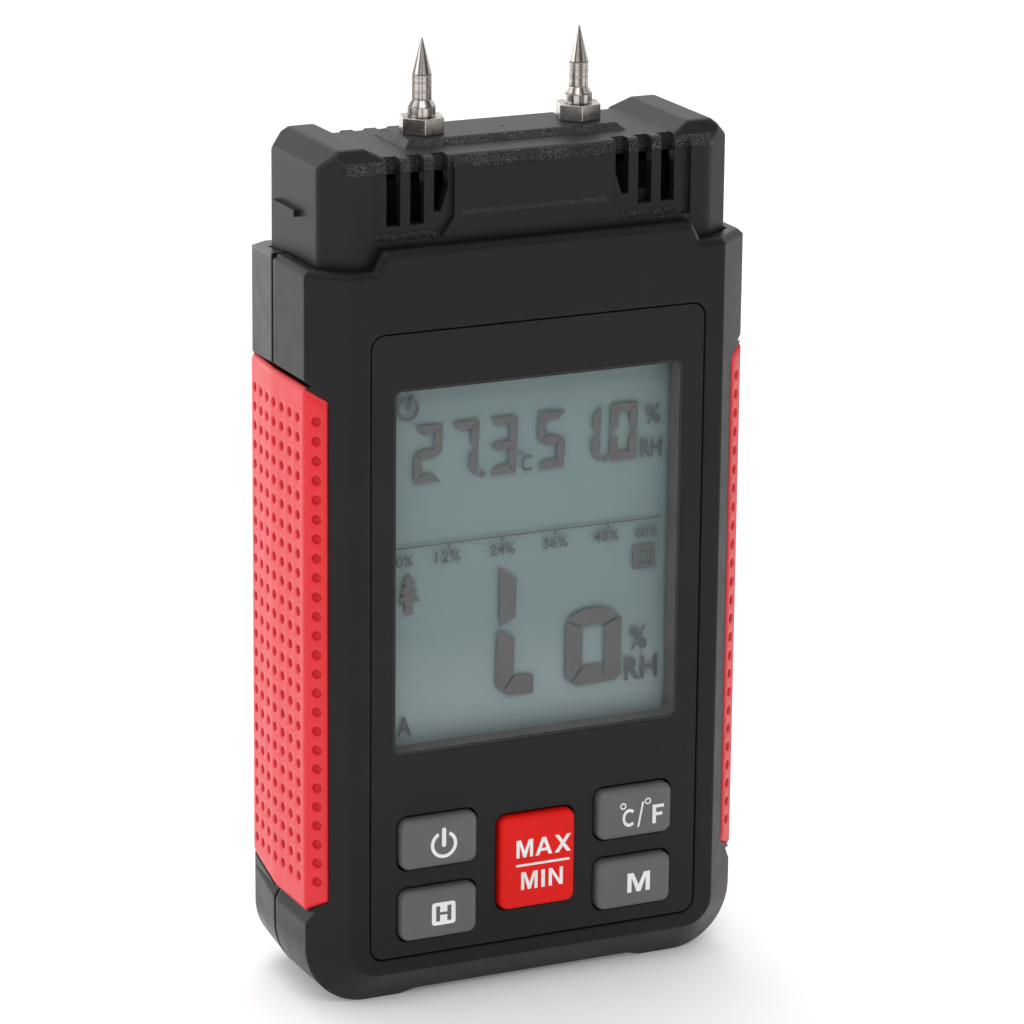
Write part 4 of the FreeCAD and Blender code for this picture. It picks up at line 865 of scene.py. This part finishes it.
def pierced(outer, inner, low, high):
    """A flat plate with one hole, made thick between two Y levels."""
    made = bmesh.new()
    loops = []
    for outline in (outer, inner):
        points = [made.verts.new((x, 0.0, z)) for x, z in outline]
        loops.append([made.edges.new((points[i], points[(i + 1) % len(points)])) for i in range(len(points))])
    bmesh.ops.triangle_fill(made, use_beauty=True, use_dissolve=False, edges=loops[0] + loops[1])
    made.verts.index_update()
    points = [(v.co.x, low, v.co.z) for v in made.verts] + [(v.co.x, high, v.co.z) for v in made.verts]
    count = len(made.verts)
    faces = []
    for face in made.faces:
        loop = [v.index for v in face.verts]
        faces.append(tuple(loop))
        faces.append(tuple(i + count for i in reversed(loop)))
    for edge in made.edges:
        if len(edge.link_faces) == 1:
            a, b = (v.index for v in edge.verts)
            faces.append((a, b, b + count, a + count))
    made.free()
    return points, faces


# ---------------------------------------------------------------- display

# Thickness of the ink on the display, and how much bolder its letters are than the plain typeface.
INK_THICK = 0.03
INK_WEIGHT = 0.012
# The segments lie this far in front of the sheet that reflects the light, so that they shade it.
REFLECTOR_DEPTH = 0.60
# Segments of a digit: upper, upper right, lower right, lower, lower left, upper left, middle.
DIGITS = {"0": "abcdef", "1": "bc", "2": "abged", "3": "abgcd", "5": "afgcd", "7": "abc"}
# The upper row: its digits with their left edges, their common measures, and its decimal points.
SMALL_DIGITS = (("2", -18.3), ("7", -12.5), ("3", -6.3), ("5", 1.45), ("1", 7.2), ("0", 13.2))
SMALL_DIGIT = {"low": 78.9, "width": 4.40, "height": 8.6, "wide": 1.28, "lean": 0.035}
POINT_LEFTS = (-7.75, 12.05)
# The two big figures, drawn segment by segment.
BIG_L = [
    [(-4.35, 64.75), (-1.65, 62.6), (-1.72, 56.8), (-4.35, 55.55)],
    [(-4.35, 55.05), (-1.85, 53.6), (-1.93, 48.05), (-4.1, 45.5), (-4.9, 46.5), (-4.75, 53.0)],
    [(-3.75, 45.15), (-1.75, 47.75), (1.25, 47.55), (1.25, 44.65), (-2.9, 44.75)],
]
BIG_O = [
    [(6.65, 55.2), (9.5, 53.9), (12.8, 53.9), (15.35, 55.05), (12.9, 56.45), (9.4, 56.6)],
    [(6.55, 54.85), (9.3, 53.55), (9.25, 47.9), (7.3, 45.5), (6.5, 46.3)],
    [(15.75, 54.7), (12.95, 53.5), (12.9, 44.85), (14.9, 44.95), (15.7, 45.8)],
    [(7.6, 45.15), (9.6, 47.65), (12.55, 47.6), (12.55, 44.75), (8.3, 44.8)],
]
TREE_SIGN = [(-18.95, 65.5), (-17.85, 63.9), (-18.5, 63.9), (-17.5, 62.6), (-18.35, 62.6), (-17.0, 61.2),
             (-18.3, 61.2), (-18.3, 59.35), (-19.6, 59.35), (-19.6, 61.2), (-20.8, 61.2), (-19.55, 62.6),
             (-20.4, 62.6), (-19.4, 63.9), (-20.05, 63.9)]
# Middle of the boxed D, and the places of the scale's ticks.
BOXED_D = (19.25, 63.55)
TICKS = (-12.65, -4.05, 4.55, 13.2)
# Words on the display: text, middle, width and height.
DISPLAY_WORDS = (
    ("0%", (-19.65, 67.45), 2.7, 1.75),
    ("12%", (-12.7, 67.4), 4.0, 1.7),
    ("24%", (-3.95, 67.45), 4.1, 1.75),
    ("36%", (4.6, 67.5), 4.1, 1.75),
    ("48%", (12.95, 67.5), 4.1, 1.75),
    ("60%", (19.55, 67.4), 3.7, 1.7),
    ("C", (-0.2, 80.15), 1.75, 2.5),
    ("%", (20.35, 85.4), 2.5, 2.9),
    ("RH", (20.1, 80.25), 3.5, 2.75),
    ("%", (18.5, 51.0), 2.9, 3.55),
    ("RH", (19.05, 46.3), 5.4, 3.55),
    ("A", (-19.6, 42.2), 2.3, 2.9),
    ("D", BOXED_D, 1.3, 1.8),
)


def plain_box(left, right, low, high):
    """Outline of a rectangle."""
    return [(left, low), (right, low), (right, high), (left, high)]


def digit_segments(digit, left, low, width, height, wide, lean, gap=0.12):
    """Outlines of the lit segments of one digit. Its sides lean to the right by a share of the height."""
    g = gap / 2
    middle = height / 2
    half = wide / 2
    inner = width - wide
    shapes = {
        "a": [(g, height), (width - g, height), (inner - g, height - wide), (wide + g, height - wide)],
        "d": [(g, 0), (wide + g, wide), (inner - g, wide), (width - g, 0)],
        "f": [(0, height - g), (wide, height - wide - g), (wide, middle + half + g), (0, middle + g)],
        "e": [(0, g), (0, middle - g), (wide, middle - half - g), (wide, wide + g)],
        "b": [(width, height - g), (width, middle + g), (inner, middle + half + g),
              (inner, height - wide - g)],
        "c": [(width, g), (inner, wide + g), (inner, middle - half - g), (width, middle - g)],
        "g": [(g * 2, middle), (wide + g, middle + half), (inner - g, middle + half),
              (width - g * 2, middle), (inner - g, middle - half), (wide + g, middle - half)],
    }
    outlines = []
    for key in DIGITS[digit]:
        outlines.append([(left + x + z * lean, low + z) for x, z in shapes[key]])
    return outlines


def make_segments(depths):
    """Segment ink: the digits and their points, the two big figures, the tree and the box round the D."""
    outlines = []
    for digit, left in SMALL_DIGITS:
        outlines += digit_segments(digit, left, **SMALL_DIGIT)
    for left in POINT_LEFTS:
        outlines.append(plain_box(left, left + 0.9, 78.95, 79.7))
    shapes = [prism(outline, *depths) for outline in outlines + BIG_L + BIG_O + [TREE_SIGN]]
    outer = rounded_box(BOXED_D, 1.8, 1.8, 0.25)
    inner = rounded_box(BOXED_D, 1.15, 1.15, 0.1)
    shapes.append(pierced(outer, inner, *depths))
    mesh_piece("display_segments", *joined(shapes), "segment_ink", HOUSING)


def make_scale(depths):
    """Legend ink: the scale's line and ticks, the power sign and the degree ring."""
    shapes = [prism(plain_box(-22.0, 22.0, 69.31, 69.56), *depths)]
    for x in TICKS:
        shapes.append(prism(plain_box(x - 0.15, x + 0.15, 68.7, 69.3), *depths))
    shapes.append(ring((-19.2, 90.3), 1.60, 0.45, *depths, start=105, end=398))
    shapes.append(prism([(-19.45, 90.1), (-18.95, 90.1), (-18.3, 92.3), (-18.8, 92.4)], *depths))
    shapes.append(ring((-1.1, 81.85), 0.3, 0.14, *depths, steps=16))
    mesh_piece("display_scale", *joined(shapes), "legend_ink", HOUSING)


def make_display():
    """The display: a sheet that reflects the light, and thin ink in front of it."""
    glass_low, glass_high = cad_box_mm("display_glass")
    middle = ((glass_low.x + glass_high.x) / 2, (glass_low.z + glass_high.z) / 2)
    sheet = rounded_box(middle, (glass_high.x - glass_low.x) / 2, (glass_high.z - glass_low.z) / 2, 0.3, 2)
    solid = prism(sheet, glass_low.y + REFLECTOR_DEPTH, glass_high.y)
    reflector = mesh_piece("display_reflector", *solid, "display_surface", HOUSING)
    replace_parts(reflector, "display_glass")
    back = glass_low.y + INK_THICK
    make_segments((glass_low.y, back))
    make_scale((glass_low.y, back))
    for number, (text, centre, width, height) in enumerate(DISPLAY_WORDS):
        name = f"display_word_{number}"
        lettering(name, text, centre, width, height, back, INK_THICK, "legend_ink", HOUSING, INK_WEIGHT)


# ---------------------------------------------------------------- stage

# Radius of the floor.
FLOOR_RADIUS = 3.0
# Soft lights: name, place, the point they face, side length and power.
LIGHTS = (
    ("left_softbox", (-0.75, 0.10, 0.35), (0.0, 0.0, 0.06), 0.55, 1.0),
    ("key_softbox", (-0.25, -0.75, 0.85), (0.0, 0.0, 0.07), 0.60, 3.2),
    ("rear_softbox", (-0.16, 0.85, 0.10), (0.0, 0.0, 0.07), 0.35, 1.05),
    ("top_softbox", (0.1, 0.55, 1.00), (0.0, 0.0, 0.10), 0.80, 4.0),
)


def make_floor():
    """Pale round floor that glows a little, so that it is nearly white."""
    made, tree, shader = new_material("floor_paper", 0.7)
    tint = shades(tree, noise(tree, 60.0), (0.90, 0.90, 0.90), (0.93, 0.93, 0.93))
    tree.links.new(tint, shader.inputs["Base Color"])
    shader.inputs["Emission Color"].default_value = (1.0, 1.0, 1.0, 1.0)
    shader.inputs["Emission Strength"].default_value = 0.16
    mesh = bpy.data.meshes.new("floor")
    edge = []
    for degrees in range(0, 360, 6):
        angle = math.radians(degrees)
        edge.append((FLOOR_RADIUS * math.cos(angle), FLOOR_RADIUS * math.sin(angle), 0.0))
    mesh.from_pydata(edge, [], [tuple(range(len(edge)))])
    mesh.materials.append(made)
    floor = bpy.data.objects.new("floor", mesh)
    bpy.context.scene.collection.objects.link(floor)


def make_world():
    """Soft white surroundings, darker in front of the object than behind it."""
    world = bpy.data.worlds.new("studio")
    world.use_nodes = True
    tree = world.node_tree
    background = tree.nodes["Background"]
    background.inputs["Color"].default_value = (1.0, 1.0, 1.0, 1.0)
    direction = node(tree, "SeparateXYZ", {"Vector": node(tree, "TexCoord").outputs["Generated"]})
    light = between(tree, direction.outputs["Y"], 0.42, 1.0, -0.6, 0.5)
    tree.links.new(light, background.inputs["Strength"])
    bpy.context.scene.world = world


def add_light(name, place, aim, size, power):
    """A square soft light that faces a point."""
    lamp = bpy.data.lights.new(name, "AREA")
    lamp.size = size
    lamp.energy = power
    holder = bpy.data.objects.new(name, lamp)
    holder.location = place
    holder.rotation_euler = (Vector(aim) - Vector(place)).to_track_quat("-Z", "Y").to_euler()
    bpy.context.scene.collection.objects.link(holder)


def make_camera():
    """Camera at the product view's angle."""
    yaw = math.radians(CAMERA_YAW)
    tilt = math.radians(CAMERA_TILT)
    ahead = Vector((math.sin(yaw) * math.cos(tilt), math.cos(yaw) * math.cos(tilt), -math.sin(tilt)))
    level = Vector((math.cos(yaw), -math.sin(yaw), 0.0))
    up = level.cross(ahead)
    turn = Matrix.Rotation(-math.radians(CAMERA_ROLL), 3, ahead)
    right = turn @ level
    up = turn @ up
    basis = Matrix((right, up, -ahead)).transposed()
    lens = bpy.data.cameras.new("camera")
    lens.lens = CAMERA_LENS
    lens.sensor_width = 36.0
    camera = bpy.data.objects.new("camera", lens)
    camera.matrix_world = Matrix.Translation(Vector(CAMERA_AIM) - ahead * CAMERA_DISTANCE) @ basis.to_4x4()
    bpy.context.scene.collection.objects.link(camera)
    bpy.context.scene.camera = camera


# ---------------------------------------------------------------- build

MATERIALS = make_materials()
# The slots of the record, and the slot of each CAD node.
SLOT_OF = {entry["node"]: entry["material_slot"] for entry in frame["record"]["subparts"]}

bpy.context.scene.view_settings.view_transform = "Standard"
make_camera()
for name, item in frame["nodes"].items():
    item.data.materials.clear()
    item.data.materials.append(MATERIALS[SLOT_OF[name]])
for side in (-1, 1):
    make_grip(side)
for name in KEYS:
    make_key_cap(name)
make_key_marks()
make_display()
make_floor()
make_world()
for light in LIGHTS:
    add_light(*light)
